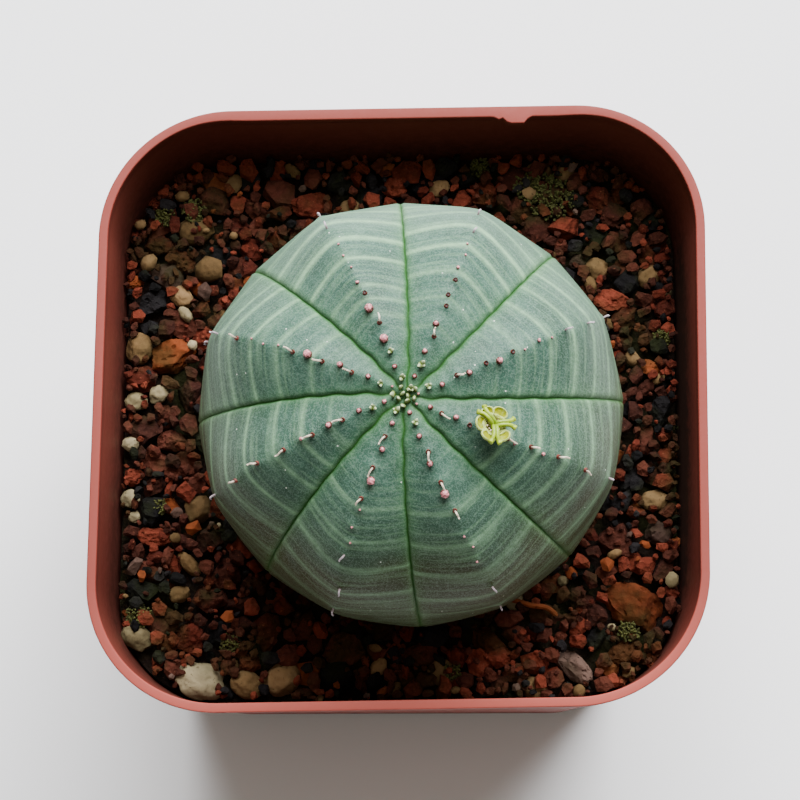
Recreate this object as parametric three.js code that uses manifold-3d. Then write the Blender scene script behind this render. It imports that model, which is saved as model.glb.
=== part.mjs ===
// A baseball plant, an eight-ribbed globe of succulent spurge, in a square plastic pot of gritty soil.
// Millimetres, +Z up, origin at the middle of the pot's base. The front is -Y.
import * as THREE from "three";
import { mergeVertices } from "three/addons/utils/BufferGeometryUtils.js";
import Module from "manifold-3d";

const wasm = await Module();
wasm.setup();

// Pot: a thin moulded square pot with round corners, a soft rim and a dished base
const POT_WIDTH = 70;
const POT_HEIGHT = 65;
const POT_TAPER = 0.085; // each wall leans in by this much for each millimetre down
const RIM_THICKNESS = 0.9;
const RIM_ROUND = 0.2;
const WALL = 0.65; // under the collar
const COLLAR_HEIGHT = 6;
const CORNER_RADIUS = 15;
const CORNER_STEPS = 7;
const BASE_EDGE_ROUND = 0.6;
const RIM_SKEW = 0.0137; // the soft rim is pressed slightly out of square
const FLOOR_THICKNESS = 1.6;
const FOOT_WIDTH = 4;
const BASE_DISH = 1;
const CENTRE_PAD_RADIUS = 7;
const DRAIN_RADIUS = 3;
const DRAIN_SPACING = 13;

// Soil: grit packed to a little under the rim
const SOIL_DEPTH = 11.5;
const SOIL_TOP = POT_HEIGHT - SOIL_DEPTH;
const BED_DROP = 1.6; // the dark bed between the stones lies this far under the mean level
const LEAST_SINK = 0.55; // each stone is sunk at least this far into the bed
const CLEARANCE = 0.3;

// Plant: widest across its equator, with a rounded top and a taproot
const EQUATOR_RADIUS = 23.7;
const EQUATOR_HEIGHT = POT_HEIGHT + 5;
const EQUATOR_CENTRE = new THREE.Vector3(1.2, -2.6, EQUATOR_HEIGHT);
const DOME_HEIGHT = 20;
const DOME_ROUNDNESS = 2.2; // exponent of the superellipse, where 2 is an ellipse
const LEAN_EAST = THREE.MathUtils.degToRad(-1.8);
const LEAN_NORTH = THREE.MathUtils.degToRad(-6.2);
const FIRST_FURROW = THREE.MathUtils.degToRad(0.6); // turned this far from +X
const RIBS = 8;
const RIB_HEIGHT = 0.8; // half of the height from furrow to crest, on the dome
const RIB_SHARPNESS = 0.55; // 1 is a roof ridge and 0 a soft wave
const RIB_RISE = 0.7; // under 1, the ribs stand highest nearer the apex
const RIBS_GONE_AT = THREE.MathUtils.degToRad(86); // from the apex
const SPIRAL = THREE.MathUtils.degToRad(3.3); // the ribs turn by this as the way from the apex grows e-fold
const SPIRAL_LEVEL = 17; // this far from the apex they cross their mean direction
const SPIRAL_START = 1;
const FURROW_DEPTH = 0.45;
const FURROW_BOTTOM = 0.97; // from here on a rib's phase counts as the bottom of the furrow
const APEX_DIMPLE = 0.7;
const APEX_DIMPLE_RADIUS = 3;
const APEX_OPENING = 0.15; // least radius of the topmost ring
// Where the columns of points stand in each rib, from one furrow to the next
const RIB_COLUMNS = [0, 0.04, 0.18, 0.34, 0.5, 0.66, 0.82, 0.96];
// Rows of points over the dome, in degrees from the apex
const DOME_ROWS = [84, 76, 67, 58, 49, 40, 31, 23, 15.5, 9.5, 5.5, 2.6];
const CREST_STEP = 4; // degrees between the points of the line that the crest rows follow
// Side view of the body below the equator and of the taproot: radius, height
const LOWER_PROFILE = [
  [23.7, 0],
  [22.9, -7],
  [19.8, -14],
  [12.5, -20.5],
  [6.5, -27],
  [3.4, -36],
  [1.6, -45],
];
const ROOT_TIP = -47;
const LOWER_ROWS = 9;
const LOWER_FURROW_DEPTH = 0.12;
const SMOOTH_BELOW = -20; // the ribs have run out here
const SOCKET_ROWS = 9;
const SOCKET_SIDES = 24;

// Crest rows: buds and dried flower stalks that alternate like stitching
const ROW_START = 2.1; // from the apex, over the surface
const ROW_PITCH = 1.72;
const ROW_COUNT = 16;
const ROW_JITTER = 0.25; // an item slips along its row by up to this
const ROW_ZIGZAG = [0.09, 0.22]; // items stand this far to the left and right of the crest in turn
const ITEM_SIZES = [0.8, 1.2];
const LEAVES_PER_ROW = 1;
const LEAF_SIZE = [0.4, 0.28, 0.65];
const LEAF_LIFT = 0.3;
const BUDS_UP_TO = 10; // further down a row holds only dried stalks
const BUD_RADIUS = 0.5;
const BUD_LIFT = 0.35; // share of its radius that a bud's middle stands over the crest
const STALK_RADIUS = 0.32;
const STALK_TAPER = 0.75;
const STALK_LENGTH = 1.2;
const STALK_RISE = 0.6; // of the tip over the knee
const STALK_ROOT = 0.6;
const STALK_ROOT_POINT = 0.15;
const STALK_SIDES = 3;

// Flower: a cup with five glands and three forked styles, among the items of one crest row
const FLOWER_RIB = 7;
const FLOWER_DISTANCE = 9.4; // from the apex, over the surface
const FLOWER_AXIS = new THREE.Vector3(0.27, 0.17, 0.95).normalize(); // it leans towards the light
const FLOWER_ROOM = 1.75; // no row item stands nearer to it
const FLOWER_LEE = 3.2; // items up to this far above it are buds, which don't reach under its cup
const FLOWER_CUP_RADIUS = 1.25;
const FLOWER_CUP_HEIGHT = 1.3;
const FLOWER_CUP_SHOULDER = [1.05, 0.45]; // radius, height over the stalk
const FLOWER_MOUTH_RADIUS = 1;
const FLOWER_THROAT_RADIUS = 0.58;
const FLOWER_THROAT_DEPTH = 0.35;
const FLOWER_STALK_RADIUS = 0.45;
const FLOWER_STALK_HEIGHT = 0.8;
const FLOWER_SOCKET_DEPTH = 0.6;
const GLAND_TURNS = [53, 171, 228, 285, 348]; // degrees; one place on the rim stays empty
const GLAND_SIZE = [0.66, 0.9, 0.34];
const GLAND_REACH = 1.5;
const GLAND_TILT = 0.3;
const GLAND_SINK = 0.05;
const STYLE_TURNS = [14, 112, 241]; // degrees
const STYLE_RADIUS = 0.24;
const STYLE_REACH = 2.3;
const STYLE_FORK = 0.52; // from the style's middle line out to each tip
// Each arm of a style: share of its reach, share of its fork, height over the cup in its own radii
const STYLE_PATH = [
  [0, 0, -3],
  [0.12, 0.15, 0.5],
  [0.62, 0.3, 1.7],
  [1, 1, 0.5],
];

// Stones that stand out in the soil: x, y, length, width, turn in degrees
const MARKED_STONES = [
  [-29.5, 14.8, 4.4, 3.6, 20],
  [-26.0, 15.4, 3.2, 2.4, -30],
  [-31.0, 9.1, 4.0, 3.2, 80],
  [-27.2, 8.0, 6.0, 4.6, 35],
  [-31.2, 2.6, 2.8, 2.4, 0],
  [-28.6, 3.6, 2.8, 2.2, 40],
  [-26.8, -2.2, 3.8, 3.0, 10],
  [-23.8, -10.3, 3.8, 3.2, 60],
  [-29.2, -13.5, 4.6, 2.6, -10],
  [-23.2, -30.4, 6.0, 4.4, -12],
  [-17.8, -30.9, 3.8, 3.2, 15],
  [-13.7, -30.4, 4.6, 3.6, 25],
  [-30.6, -25.4, 3.8, 3.2, -35],
  [-24.6, -25.6, 4.4, 3.8, 50],
  [26.9, -21.1, 7.2, 5.6, -40],
  [20.3, -28.9, 6.4, 3.2, -38],
  [25.9, -27.2, 4.4, 3.2, 10],
  [30.0, -13.2, 4.2, 3.6, 30],
  [29.8, -9.4, 3.4, 2.6, 0],
  [30.8, 1.4, 4.2, 3.2, 75],
  [28.9, -2.0, 3.8, 2.8, 80],
  [23.6, 18.7, 3.2, 2.8, 20],
  [29.8, 17.8, 3.0, 2.6, 45],
  [25.3, 14.9, 4.6, 3.4, 0],
  [24.1, 27.6, 4.6, 3.6, -60],
  [18.3, 28.3, 5.4, 4.0, 0],
  [-10.8, 26.6, 5.4, 4.2, 15],
  [-20.0, 29.4, 2.6, 2.0, 70],
];
const FILLER_SIZES = [5.2, 4.2, 3.2]; // stones of each size are thrown in turn
const FILLER_LENGTHS = [0.85, 1.2]; // of that size
const FILLER_WIDTHS = [0.65, 0.95]; // of the stone's length
const FILLER_THROWS = 500;
const FILLER_OVERLAP = 0.8; // share of two stones' mean reach that they must lie apart
const FILLER_TO_EDGE = 0.42; // a stone's middle stays this share of its length from wall and plant
const NECK_RADIUS = 17.6; // of the plant where it enters the soil
const BLOCK_SIZE = 1.3; // of the block that a stone of unit radius is broken from
const CORNER_REACH = [0.84, 1.14];
const STONE_HEIGHTS = [0.75, 1]; // of the stone's narrow side
const STONE_SINKS = [0.28, 0.48]; // of its height
const STONE_TILT = 0.25;
const STONE_SEED = 20;
const ROW_SEED = 8;

/** Seeded random numbers from 0 to 1, the same on each run. */
function makeRandom(seed) {
  let state = seed;
  return () => {
    state = (state + 0x6d2b79f5) | 0;
    let t = Math.imul(state ^ (state >>> 15), 1 | state);
    t = (t + Math.imul(t ^ (t >>> 7), 61 | t)) ^ t;
    return ((t ^ (t >>> 14)) >>> 0) / 4294967296;
  };
}

/** A random number within a range. */
function within([low, high], random) {
  return low + (high - low) * random();
}

/** A closed shell through rings of equally many points, from a bottom point up to a top point. */
function loft(rings, bottom, top) {
  const count = rings[0].length;
  const positions = [...rings.flat(), bottom, top].flatMap((p) => [p.x, p.y, p.z]);
  const bottomIndex = rings.length * count;
  const index = [];
  for (let j = 0; j < count; j += 1) {
    const next = (j + 1) % count;
    index.push(bottomIndex, next, j);
    for (let i = 0; i + 1 < rings.length; i += 1) {
      const low = i * count;
      const high = low + count;
      index.push(low + j, low + next, high + next, low + j, high + next, high + j);
    }
    const last = (rings.length - 1) * count;
    index.push(last + j, last + next, bottomIndex + 1);
  }
  const geometry = new THREE.BufferGeometry();
  geometry.setAttribute("position", new THREE.Float32BufferAttribute(positions, 3));
  geometry.setIndex(index);
  return geometry;
}

/** Turns a closed three.js geometry into a solid. */
function toSolid(geometry) {
  const bare = geometry.clone();
  bare.deleteAttribute("normal");
  bare.deleteAttribute("uv");
  const merged = mergeVertices(bare, 1e-5);
  return new wasm.Manifold(
    new wasm.Mesh({
      numProp: 3,
      vertProperties: new Float32Array(merged.attributes.position.array),
      triVerts: new Uint32Array(merged.index.array),
    }),
  );
}

/** Turns a solid back into a geometry. */
function toGeometry(solid) {
  const mesh = solid.getMesh();
  const geometry = new THREE.BufferGeometry();
  geometry.setAttribute("position", new THREE.BufferAttribute(mesh.vertProperties, 3));
  geometry.setIndex(new THREE.BufferAttribute(mesh.triVerts, 1));
  geometry.computeVertexNormals();
  return geometry;
}

/** A named part in its own plain material. */
function makePart(name, geometry, color, roughness) {
  const material = new THREE.MeshStandardMaterial({ color, roughness, metalness: 0 });
  const part = new THREE.Mesh(geometry, material);
  part.name = name;
  return part;
}

// Pot

/** One level ring of the pot: a square with round corners, pressed out of square towards the rim. */
function squareRing(halfWidth, radius, z) {
  const skew = (RIM_SKEW * z) / POT_HEIGHT;
  const ring = [];
  for (let corner = 0; corner < 4; corner += 1) {
    const middle = (corner + 0.5) * (Math.PI / 2);
    const centreX = Math.sign(Math.cos(middle)) * (halfWidth - radius);
    const centreY = Math.sign(Math.sin(middle)) * (halfWidth - radius);
    for (let step = 0; step <= CORNER_STEPS; step += 1) {
      const angle = (corner + step / CORNER_STEPS) * (Math.PI / 2);
      const x = centreX + radius * Math.cos(angle);
      const y = centreY + radius * Math.sin(angle);
      ring.push(new THREE.Vector3(x + skew * y, y + skew * x, z));
    }
  }
  return ring;
}

/** Half the width between the pot's inner faces at height z. */
function innerHalfWidth(z) {
  return POT_WIDTH / 2 - POT_TAPER * (POT_HEIGHT - z) - RIM_THICKNESS;
}

/** A ring beside the pot's inner face, moved out by an offset, or in where that is negative. */
function wallRing(z, offset) {
  const half = innerHalfWidth(z) + offset;
  return squareRing(half, CORNER_RADIUS - POT_WIDTH / 2 + half, z);
}

/** The pot: outer wall with its collar, rim, inner wall and floor, with a dished base and drain holes. */
function makePot() {
  const collarFoot = POT_HEIGHT - COLLAR_HEIGHT;
  const collarStep = RIM_THICKNESS - WALL;
  const rings = [
    wallRing(0, WALL - BASE_EDGE_ROUND),
    wallRing(BASE_EDGE_ROUND, WALL),
    wallRing(collarFoot, WALL),
    wallRing(collarFoot + collarStep, RIM_THICKNESS),
    wallRing(POT_HEIGHT - RIM_ROUND, RIM_THICKNESS),
    wallRing(POT_HEIGHT, RIM_THICKNESS - RIM_ROUND),
    wallRing(POT_HEIGHT, RIM_ROUND / 2),
    wallRing(POT_HEIGHT - RIM_ROUND, 0),
    wallRing(FLOOR_THICKNESS + BASE_EDGE_ROUND, 0),
    wallRing(FLOOR_THICKNESS, -BASE_EDGE_ROUND),
  ];
  const shell = loft(rings, new THREE.Vector3(0, 0, 0), new THREE.Vector3(0, 0, FLOOR_THICKNESS));

  const dishHalf = innerHalfWidth(0) + WALL - FOOT_WIDTH;
  const dishOutline = new THREE.Shape(
    squareRing(dishHalf, CORNER_RADIUS - FOOT_WIDTH, 0).map((p) => new THREE.Vector2(p.x, p.y)),
  );
  dishOutline.holes.push(new THREE.Path().absarc(0, 0, CENTRE_PAD_RADIUS, 0, Math.PI * 2, true));
  const dish = new THREE.ExtrudeGeometry(dishOutline, {
    depth: BASE_DISH * 2,
    bevelEnabled: false,
    curveSegments: 16,
  }).translate(0, 0, -BASE_DISH);

  let pot = toSolid(shell).subtract(toSolid(dish));
  for (const x of [-DRAIN_SPACING, DRAIN_SPACING]) {
    for (const y of [-DRAIN_SPACING, DRAIN_SPACING]) {
      const drain = new THREE.CylinderGeometry(DRAIN_RADIUS, DRAIN_RADIUS, FLOOR_THICKNESS * 4, 20);
      drain.rotateX(Math.PI / 2).translate(x, y, 0);
      pot = pot.subtract(toSolid(drain));
    }
  }
  return toGeometry(pot);
}

// Plant

/** Moves a point from the plant's own frame, whose +Z is its axis, to its leaning place in the pot. */
const plantPlace = new THREE.Matrix4()
  .compose(
    EQUATOR_CENTRE,
    new THREE.Quaternion().setFromUnitVectors(
      new THREE.Vector3(0, 0, 1),
      new THREE.Vector3(Math.tan(LEAN_EAST), Math.tan(LEAN_NORTH), 1).normalize(),
    ),
    new THREE.Vector3(1, 1, 1),
  )
  .multiply(new THREE.Matrix4().makeRotationZ(FIRST_FURROW));

/** How far a direction is from the nearest crest: 0 on a crest and 1 in a furrow. */
function ribPhase(angle) {
  const turn = (angle * RIBS) / (Math.PI * 2) - 0.5;
  return Math.abs(turn - Math.round(turn)) * 2;
}

/** Whether a direction is the bottom of a furrow. */
function isFurrow(angle) {
  return ribPhase(angle) > FURROW_BOTTOM;
}

/** The section of a rib between a roof ridge and a wave: 1 on a crest and -1 in a furrow. */
function ribWave(phase) {
  return THREE.MathUtils.lerp(Math.cos(Math.PI * phase), 1 - 2 * phase, RIB_SHARPNESS);
}

/** Height of the ribs at a polar angle from the apex, rising from the apex and gone at the equator. */
function ribHeight(polar) {
  const reach = THREE.MathUtils.clamp(polar / RIBS_GONE_AT, 0, 1);
  return RIB_HEIGHT * Math.sin(Math.PI * reach ** RIB_RISE);
}

/** Each half rib is a flat facet, so that a level cut has sixteen corners. */
function facetShrink(angle) {
  const facet = Math.PI / RIBS;
  const fromMiddle = THREE.MathUtils.euclideanModulo(angle, facet) - facet / 2;
  return Math.cos(facet / 2) / Math.cos(fromMiddle);
}

/** Radius and height of the smooth dome at a polar angle, in the plant's frame. */
function domeProfile(polar) {
  const power = 2 / DOME_ROUNDNESS;
  const radius = EQUATOR_RADIUS * Math.sin(polar) ** power;
  const dimple = APEX_DIMPLE * Math.exp(-((radius / APEX_DIMPLE_RADIUS) ** 2));
  return new THREE.Vector2(radius, DOME_HEIGHT * Math.max(Math.cos(polar), 0) ** power - dimple);
}

/** How far the ribs have turned about the axis at a radius and height, as a logarithmic spiral. */
function spiral(radius, z) {
  const fromApex = Math.max(Math.hypot(radius, DOME_HEIGHT - z), SPIRAL_START);
  return SPIRAL * Math.log(fromApex / SPIRAL_LEVEL);
}

/** A point of the body at a radius, a direction among the ribs and a height. */
function bodyPoint(radius, angle, z) {
  const turned = angle + spiral(radius, z);
  return new THREE.Vector3(radius * Math.cos(turned), radius * Math.sin(turned), z);
}

/** A point on the dome with its ribs, facets and furrows. */
function domePoint(polar, angle) {
  const profile = domeProfile(polar);
  const step = 0.01;
  const slope = domeProfile(polar + step)
    .sub(domeProfile(Math.max(polar - step, 0)))
    .normalize();
  const furrow = isFurrow(angle) ? FURROW_DEPTH * Math.sqrt(Math.max(Math.cos(polar), 0)) : 0;
  const lift = ribHeight(polar) * ribWave(ribPhase(angle)) - furrow;
  const radius = Math.max(profile.x * facetShrink(angle) - slope.y * lift, APEX_OPENING);
  return bodyPoint(radius, angle, profile.y + slope.x * lift);
}

/** Directions of the columns of points: the furrow, its shoulders, the flanks and the crest of each rib. */
function columnAngles() {
  const sector = (Math.PI * 2) / RIBS;
  const angles = [];
  for (let rib = 0; rib < RIBS; rib += 1) {
    angles.push(...RIB_COLUMNS.map((place) => (rib + place) * sector));
  }
  return angles;
}

/** The rings of the dome, from the equator up to the apex. */
function domeRings() {
  return DOME_ROWS.map((degrees) => {
    const polar = THREE.MathUtils.degToRad(degrees);
    return columnAngles().map((angle) => domePoint(polar, angle));
  });
}

/** Side view of the lower body and taproot, as a smooth line from the equator down to the tip. */
function lowerSide(rows) {
  const line = new THREE.SplineCurve(LOWER_PROFILE.map(([radius, z]) => new THREE.Vector2(radius, z)));
  return line.getSpacedPoints(rows).reverse();
}

/** The rings of the lower body and taproot, from the tip up to the equator. */
function lowerRings() {
  return lowerSide(LOWER_ROWS).map((side) => {
    const ribbed = THREE.MathUtils.smoothstep(side.y, SMOOTH_BELOW, SMOOTH_BELOW / 2);
    return columnAngles().map((angle) => {
      const shrink = THREE.MathUtils.lerp(1, facetShrink(angle), ribbed);
      const furrow = isFurrow(angle) ? LOWER_FURROW_DEPTH * ribbed : 0;
      return bodyPoint(side.x * shrink - furrow, angle, side.y);
    });
  });
}

/** The plant's bare body: taproot, globe and ribs. */
function bodySolid() {
  const rings = [...lowerRings(), ...domeRings()];
  const apex = new THREE.Vector3(0, 0, domeProfile(0).y);
  return toSolid(loft(rings, new THREE.Vector3(0, 0, ROOT_TIP), apex));
}

/** The plain round hole that the soil leaves for the plant, in the plant's frame. */
function socketSolid() {
  const grow = CLEARANCE / Math.cos(Math.PI / SOCKET_SIDES);
  const profile = lowerSide(SOCKET_ROWS).map(
    (side) => new THREE.Vector2(side.x / Math.cos(Math.PI / SOCKET_SIDES) + grow, side.y),
  );
  profile.unshift(new THREE.Vector2(0, ROOT_TIP - CLEARANCE));
  profile.push(new THREE.Vector2(0, 0));
  return toSolid(new THREE.LatheGeometry(profile, SOCKET_SIDES).rotateX(Math.PI / 2));
}

/** The side view of a crest, from the apex over the equator and down towards the soil. */
function makeCrestLine() {
  const crest = Math.PI / RIBS;
  const points = [new THREE.Vector2(0, domeProfile(0).y)];
  for (let degrees = 1; degrees < 90; degrees += CREST_STEP) {
    const p = domePoint(THREE.MathUtils.degToRad(degrees), crest);
    points.push(new THREE.Vector2(Math.hypot(p.x, p.y), p.z));
  }
  const [, shoulder, neck] = LOWER_PROFILE;
  points.push(new THREE.Vector2(...shoulder), new THREE.Vector2(...neck));
  return new THREE.SplineCurve(points);
}
const crestLine = makeCrestLine();

/** A place on a crest, by its distance over the surface from the apex, with the surface's frame there. */
function crestPlace(rib, distance, sideways) {
  const along = distance / crestLine.getLength();
  const side = crestLine.getPointAt(along);
  const slope = crestLine.getTangentAt(along);
  const angle = ((rib + 0.5) * Math.PI * 2) / RIBS + spiral(side.x, side.y);
  const turned = (p) => new THREE.Vector3(p.x * Math.cos(angle), p.x * Math.sin(angle), p.y);
  const outward = turned(slope);
  const across = new THREE.Vector3(-Math.sin(angle), Math.cos(angle), 0);
  const normal = new THREE.Vector3().crossVectors(outward, across);
  return { point: turned(side).addScaledVector(across, sideways), normal, outward, across };
}

/** A round bud, sunk well into the crest. */
function bud(place, radius) {
  const ball = new THREE.IcosahedronGeometry(radius, 0);
  const centre = place.point.clone().addScaledVector(place.normal, radius * BUD_LIFT);
  return toSolid(ball.translate(centre.x, centre.y, centre.z));
}

/** A stub that carries a dried flower stalk, bent outwards over the surface. */
function driedStalk(place, radius, length) {
  const root = place.point.clone().addScaledVector(place.normal, -STALK_ROOT);
  const knee = place.point.clone().addScaledVector(place.normal, radius);
  const tip = knee.clone().addScaledVector(place.outward, length).addScaledVector(place.normal, STALK_RISE);
  const ring = (centre, size) =>
    Array.from({ length: STALK_SIDES }, (_, corner) => {
      const angle = (corner / STALK_SIDES) * Math.PI * 2;
      return centre
        .clone()
        .addScaledVector(place.outward, size * Math.cos(angle))
        .addScaledVector(place.across, size * Math.sin(angle));
    });
  const rings = [ring(root, radius), ring(knee, radius * STALK_TAPER)];
  return toSolid(loft(rings, root.clone().addScaledVector(place.normal, -STALK_ROOT_POINT), tip));
}

/** A tiny leaf at the growing tip, standing up and outwards. */
function tipLeaf(place) {
  const leaf = new THREE.OctahedronGeometry(1, 0).scale(...LEAF_SIZE);
  const basis = new THREE.Matrix4().makeBasis(place.outward, place.across, place.normal);
  const centre = place.point.clone().addScaledVector(place.normal, LEAF_LIFT);
  leaf.applyMatrix4(basis.setPosition(centre));
  return toSolid(leaf);
}

/** Distance over the surface from the apex to an item of a crest row. */
function rowDistance(item) {
  return ROW_START + ROW_PITCH * item;
}

/** The buds, dried stalks and tip leaves of all the crest rows. */
function rowItems() {
  const random = makeRandom(ROW_SEED);
  const items = [];
  for (let rib = 0; rib < RIBS; rib += 1) {
    for (let item = 0; item < ROW_COUNT; item += 1) {
      const side = item % 2 ? 1 : -1;
      const distance = rowDistance(item) + within([-ROW_JITTER, ROW_JITTER], random);
      const place = crestPlace(rib, distance, side * within(ROW_ZIGZAG, random));
      const size = within(ITEM_SIZES, random);
      const aboveFlower = rib === FLOWER_RIB ? FLOWER_DISTANCE - distance : Infinity;
      const inLee = aboveFlower > 0 && aboveFlower < FLOWER_LEE;
      if (Math.abs(aboveFlower) < FLOWER_ROOM) {
        continue;
      }
      if (item < LEAVES_PER_ROW) {
        items.push(tipLeaf(place));
      } else if (inLee || ((item + rib) % 2 && item < BUDS_UP_TO)) {
        items.push(bud(place, BUD_RADIUS * size));
      } else {
        items.push(driedStalk(place, STALK_RADIUS, STALK_LENGTH * size));
      }
    }
  }
  return items;
}

/** Turns and moves a solid made on +Z to the flower's place and lean, in the plant's frame. */
function onFlowerPlace(geometry) {
  const { point, outward } = crestPlace(FLOWER_RIB, FLOWER_DISTANCE, 0);
  const axis = FLOWER_AXIS.clone().transformDirection(plantPlace.clone().invert());
  const side = new THREE.Vector3().crossVectors(outward, axis).normalize();
  const front = new THREE.Vector3().crossVectors(axis, side);
  return geometry.applyMatrix4(new THREE.Matrix4().makeBasis(side, front, axis).setPosition(point));
}

/** The whole plant as it grew, with a small socket for the flower's stalk. */
function makePlant() {
  const body = rowItems().reduce((joined, item) => joined.add(item), bodySolid());
  const socketRadius = FLOWER_STALK_RADIUS + CLEARANCE;
  const socket = new THREE.CylinderGeometry(socketRadius, socketRadius, FLOWER_SOCKET_DEPTH * 2, 12);
  socket.rotateX(Math.PI / 2);
  return toGeometry(body.subtract(toSolid(onFlowerPlace(socket))));
}

// Flower

/** A round arm along a bent path, closed at both ends. */
function roundArm(path, radius, steps, sides) {
  const frames = path.computeFrenetFrames(steps, false);
  const rings = frames.normals.map((normal, i) =>
    Array.from({ length: sides }, (_, side) => {
      const angle = (side / sides) * Math.PI * 2;
      return path
        .getPointAt(i / steps)
        .addScaledVector(normal, radius * Math.cos(angle))
        .addScaledVector(frames.binormals[i], radius * Math.sin(angle));
    }),
  );
  return toSolid(loft(rings, path.getPointAt(0), path.getPointAt(1)));
}

/** One forked style that lies out over the cup, with both its tips. */
function style(angle) {
  const top = FLOWER_STALK_HEIGHT + FLOWER_CUP_HEIGHT;
  const at = (reach, spread, height) =>
    new THREE.Vector3(
      reach * Math.cos(angle) - spread * Math.sin(angle),
      reach * Math.sin(angle) + spread * Math.cos(angle),
      height,
    );
  const arms = [-STYLE_FORK, STYLE_FORK].map((fork) => {
    const points = STYLE_PATH.map(([reach, spread, height]) =>
      at(STYLE_REACH * reach, fork * spread, top + STYLE_RADIUS * height),
    );
    return roundArm(new THREE.CatmullRomCurve3(points), STYLE_RADIUS, 4, 5);
  });
  return arms[0].add(arms[1]);
}

/** One fleshy gland on the rim of the cup. */
function gland(angle) {
  const pad = new THREE.SphereGeometry(1, 7, 4);
  pad.rotateX(Math.PI / 2);
  pad.scale(...GLAND_SIZE).rotateY(-GLAND_TILT);
  pad.translate(GLAND_REACH, 0, FLOWER_STALK_HEIGHT + FLOWER_CUP_HEIGHT - GLAND_SINK).rotateZ(angle);
  return toSolid(pad);
}

/** The flower: stalk, cup, glands and forked styles in one piece. */
function makeFlower() {
  const rim = FLOWER_STALK_HEIGHT + FLOWER_CUP_HEIGHT;
  const [shoulderRadius, shoulderHeight] = FLOWER_CUP_SHOULDER;
  const profile = [
    [0, CLEARANCE - FLOWER_SOCKET_DEPTH],
    [FLOWER_STALK_RADIUS, CLEARANCE - FLOWER_SOCKET_DEPTH],
    [FLOWER_STALK_RADIUS, FLOWER_STALK_HEIGHT],
    [shoulderRadius, FLOWER_STALK_HEIGHT + shoulderHeight],
    [FLOWER_CUP_RADIUS, rim],
    [FLOWER_MOUTH_RADIUS, rim],
    [FLOWER_THROAT_RADIUS, rim - FLOWER_THROAT_DEPTH],
    [0, rim - FLOWER_THROAT_DEPTH],
  ].map(([x, y]) => new THREE.Vector2(x, y));
  let flower = toSolid(new THREE.LatheGeometry(profile, 14).rotateX(Math.PI / 2));
  for (const turn of GLAND_TURNS) {
    flower = flower.add(gland(THREE.MathUtils.degToRad(turn)));
  }
  for (const turn of STYLE_TURNS) {
    flower = flower.add(style(THREE.MathUtils.degToRad(turn)));
  }
  return onFlowerPlace(toGeometry(flower));
}

// Soil

/** One angular stone, from a pebble or a block of unit radius with its corners jogged. */
function stone({ x, y, length, width, turn, marked }, random) {
  const pebble = new THREE.IcosahedronGeometry(1, 0);
  const block = new THREE.BoxGeometry(BLOCK_SIZE, BLOCK_SIZE, BLOCK_SIZE);
  const lump = marked ? pebble : block;
  const rough = mergeVertices(lump.deleteAttribute("normal").deleteAttribute("uv"));
  const corners = rough.attributes.position;
  const corner = new THREE.Vector3();
  for (let i = 0; i < corners.count; i += 1) {
    corner.fromBufferAttribute(corners, i).multiplyScalar(within(CORNER_REACH, random));
    corners.setXYZ(i, corner.x, corner.y, corner.z);
  }
  const height = Math.min(length, width) * within(STONE_HEIGHTS, random);
  rough.rotateX(random() * Math.PI * 2).rotateY(random() * Math.PI * 2);
  rough.scale(length / 2, width / 2, height / 2);
  const tilt = () => within([-STONE_TILT, STONE_TILT], random);
  rough.rotateX(tilt()).rotateY(tilt()).rotateZ(turn);
  const sink = Math.max(LEAST_SINK, height * within(STONE_SINKS, random));
  rough.translate(x, y, SOIL_TOP - BED_DROP + height / 2 - sink);
  return toSolid(rough);
}

/** Throws stones over the soil, large ones first, and keeps those that fall clear of the others. */
function stonePlaces(random) {
  const places = MARKED_STONES.map(([x, y, length, width, turn]) => ({
    x,
    y,
    length,
    width,
    turn: THREE.MathUtils.degToRad(turn),
    marked: true,
  }));
  const limit = innerHalfWidth(SOIL_TOP);
  for (const size of FILLER_SIZES) {
    for (let i = 0; i < FILLER_THROWS; i += 1) {
      const length = size * within(FILLER_LENGTHS, random);
      const toEdge = length * FILLER_TO_EDGE;
      const place = {
        x: within([toEdge - limit, limit - toEdge], random),
        y: within([toEdge - limit, limit - toEdge], random),
        length,
        width: length * within(FILLER_WIDTHS, random),
        turn: random() * Math.PI,
        marked: false,
      };
      const fromPlant = Math.hypot(place.x - EQUATOR_CENTRE.x, place.y - EQUATOR_CENTRE.y);
      const free = places.every((other) => {
        const reach = (other.length + other.width + place.length + place.width) / 4;
        return Math.hypot(other.x - place.x, other.y - place.y) > reach * FILLER_OVERLAP;
      });
      if (free && fromPlant > NECK_RADIUS + toEdge) {
        places.push(place);
      }
    }
  }
  return places;
}

/** A block that fills the pot up to height z, clear of its walls and floor. */
function potFilling(z) {
  const floor = FLOOR_THICKNESS + CLEARANCE;
  const rings = [
    wallRing(floor, -BASE_EDGE_ROUND - CLEARANCE),
    wallRing(floor + BASE_EDGE_ROUND, -CLEARANCE),
    wallRing(z, -CLEARANCE),
  ];
  return toSolid(loft(rings, new THREE.Vector3(0, 0, floor), new THREE.Vector3(0, 0, z)));
}

/** The soil: a block of grit that fills the pot, with the stones of its surface, round the plant's root. */
function makeSoil() {
  const random = makeRandom(STONE_SEED);
  const stones = stonePlaces(random).map((place) => stone(place, random));
  const heaped = stones.reduce((joined, next) => joined.add(next), potFilling(SOIL_TOP - BED_DROP));
  const socket = socketSolid().transform(plantPlace.elements);
  return toGeometry(heaped.intersect(potFilling(POT_HEIGHT)).subtract(socket));
}

const pottedPlant = new THREE.Group();
pottedPlant.add(makePart("pot", makePot(), 0xa8503f, 0.5));
pottedPlant.add(makePart("gritty_soil", makeSoil(), 0x5a3226, 0.95));

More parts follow.
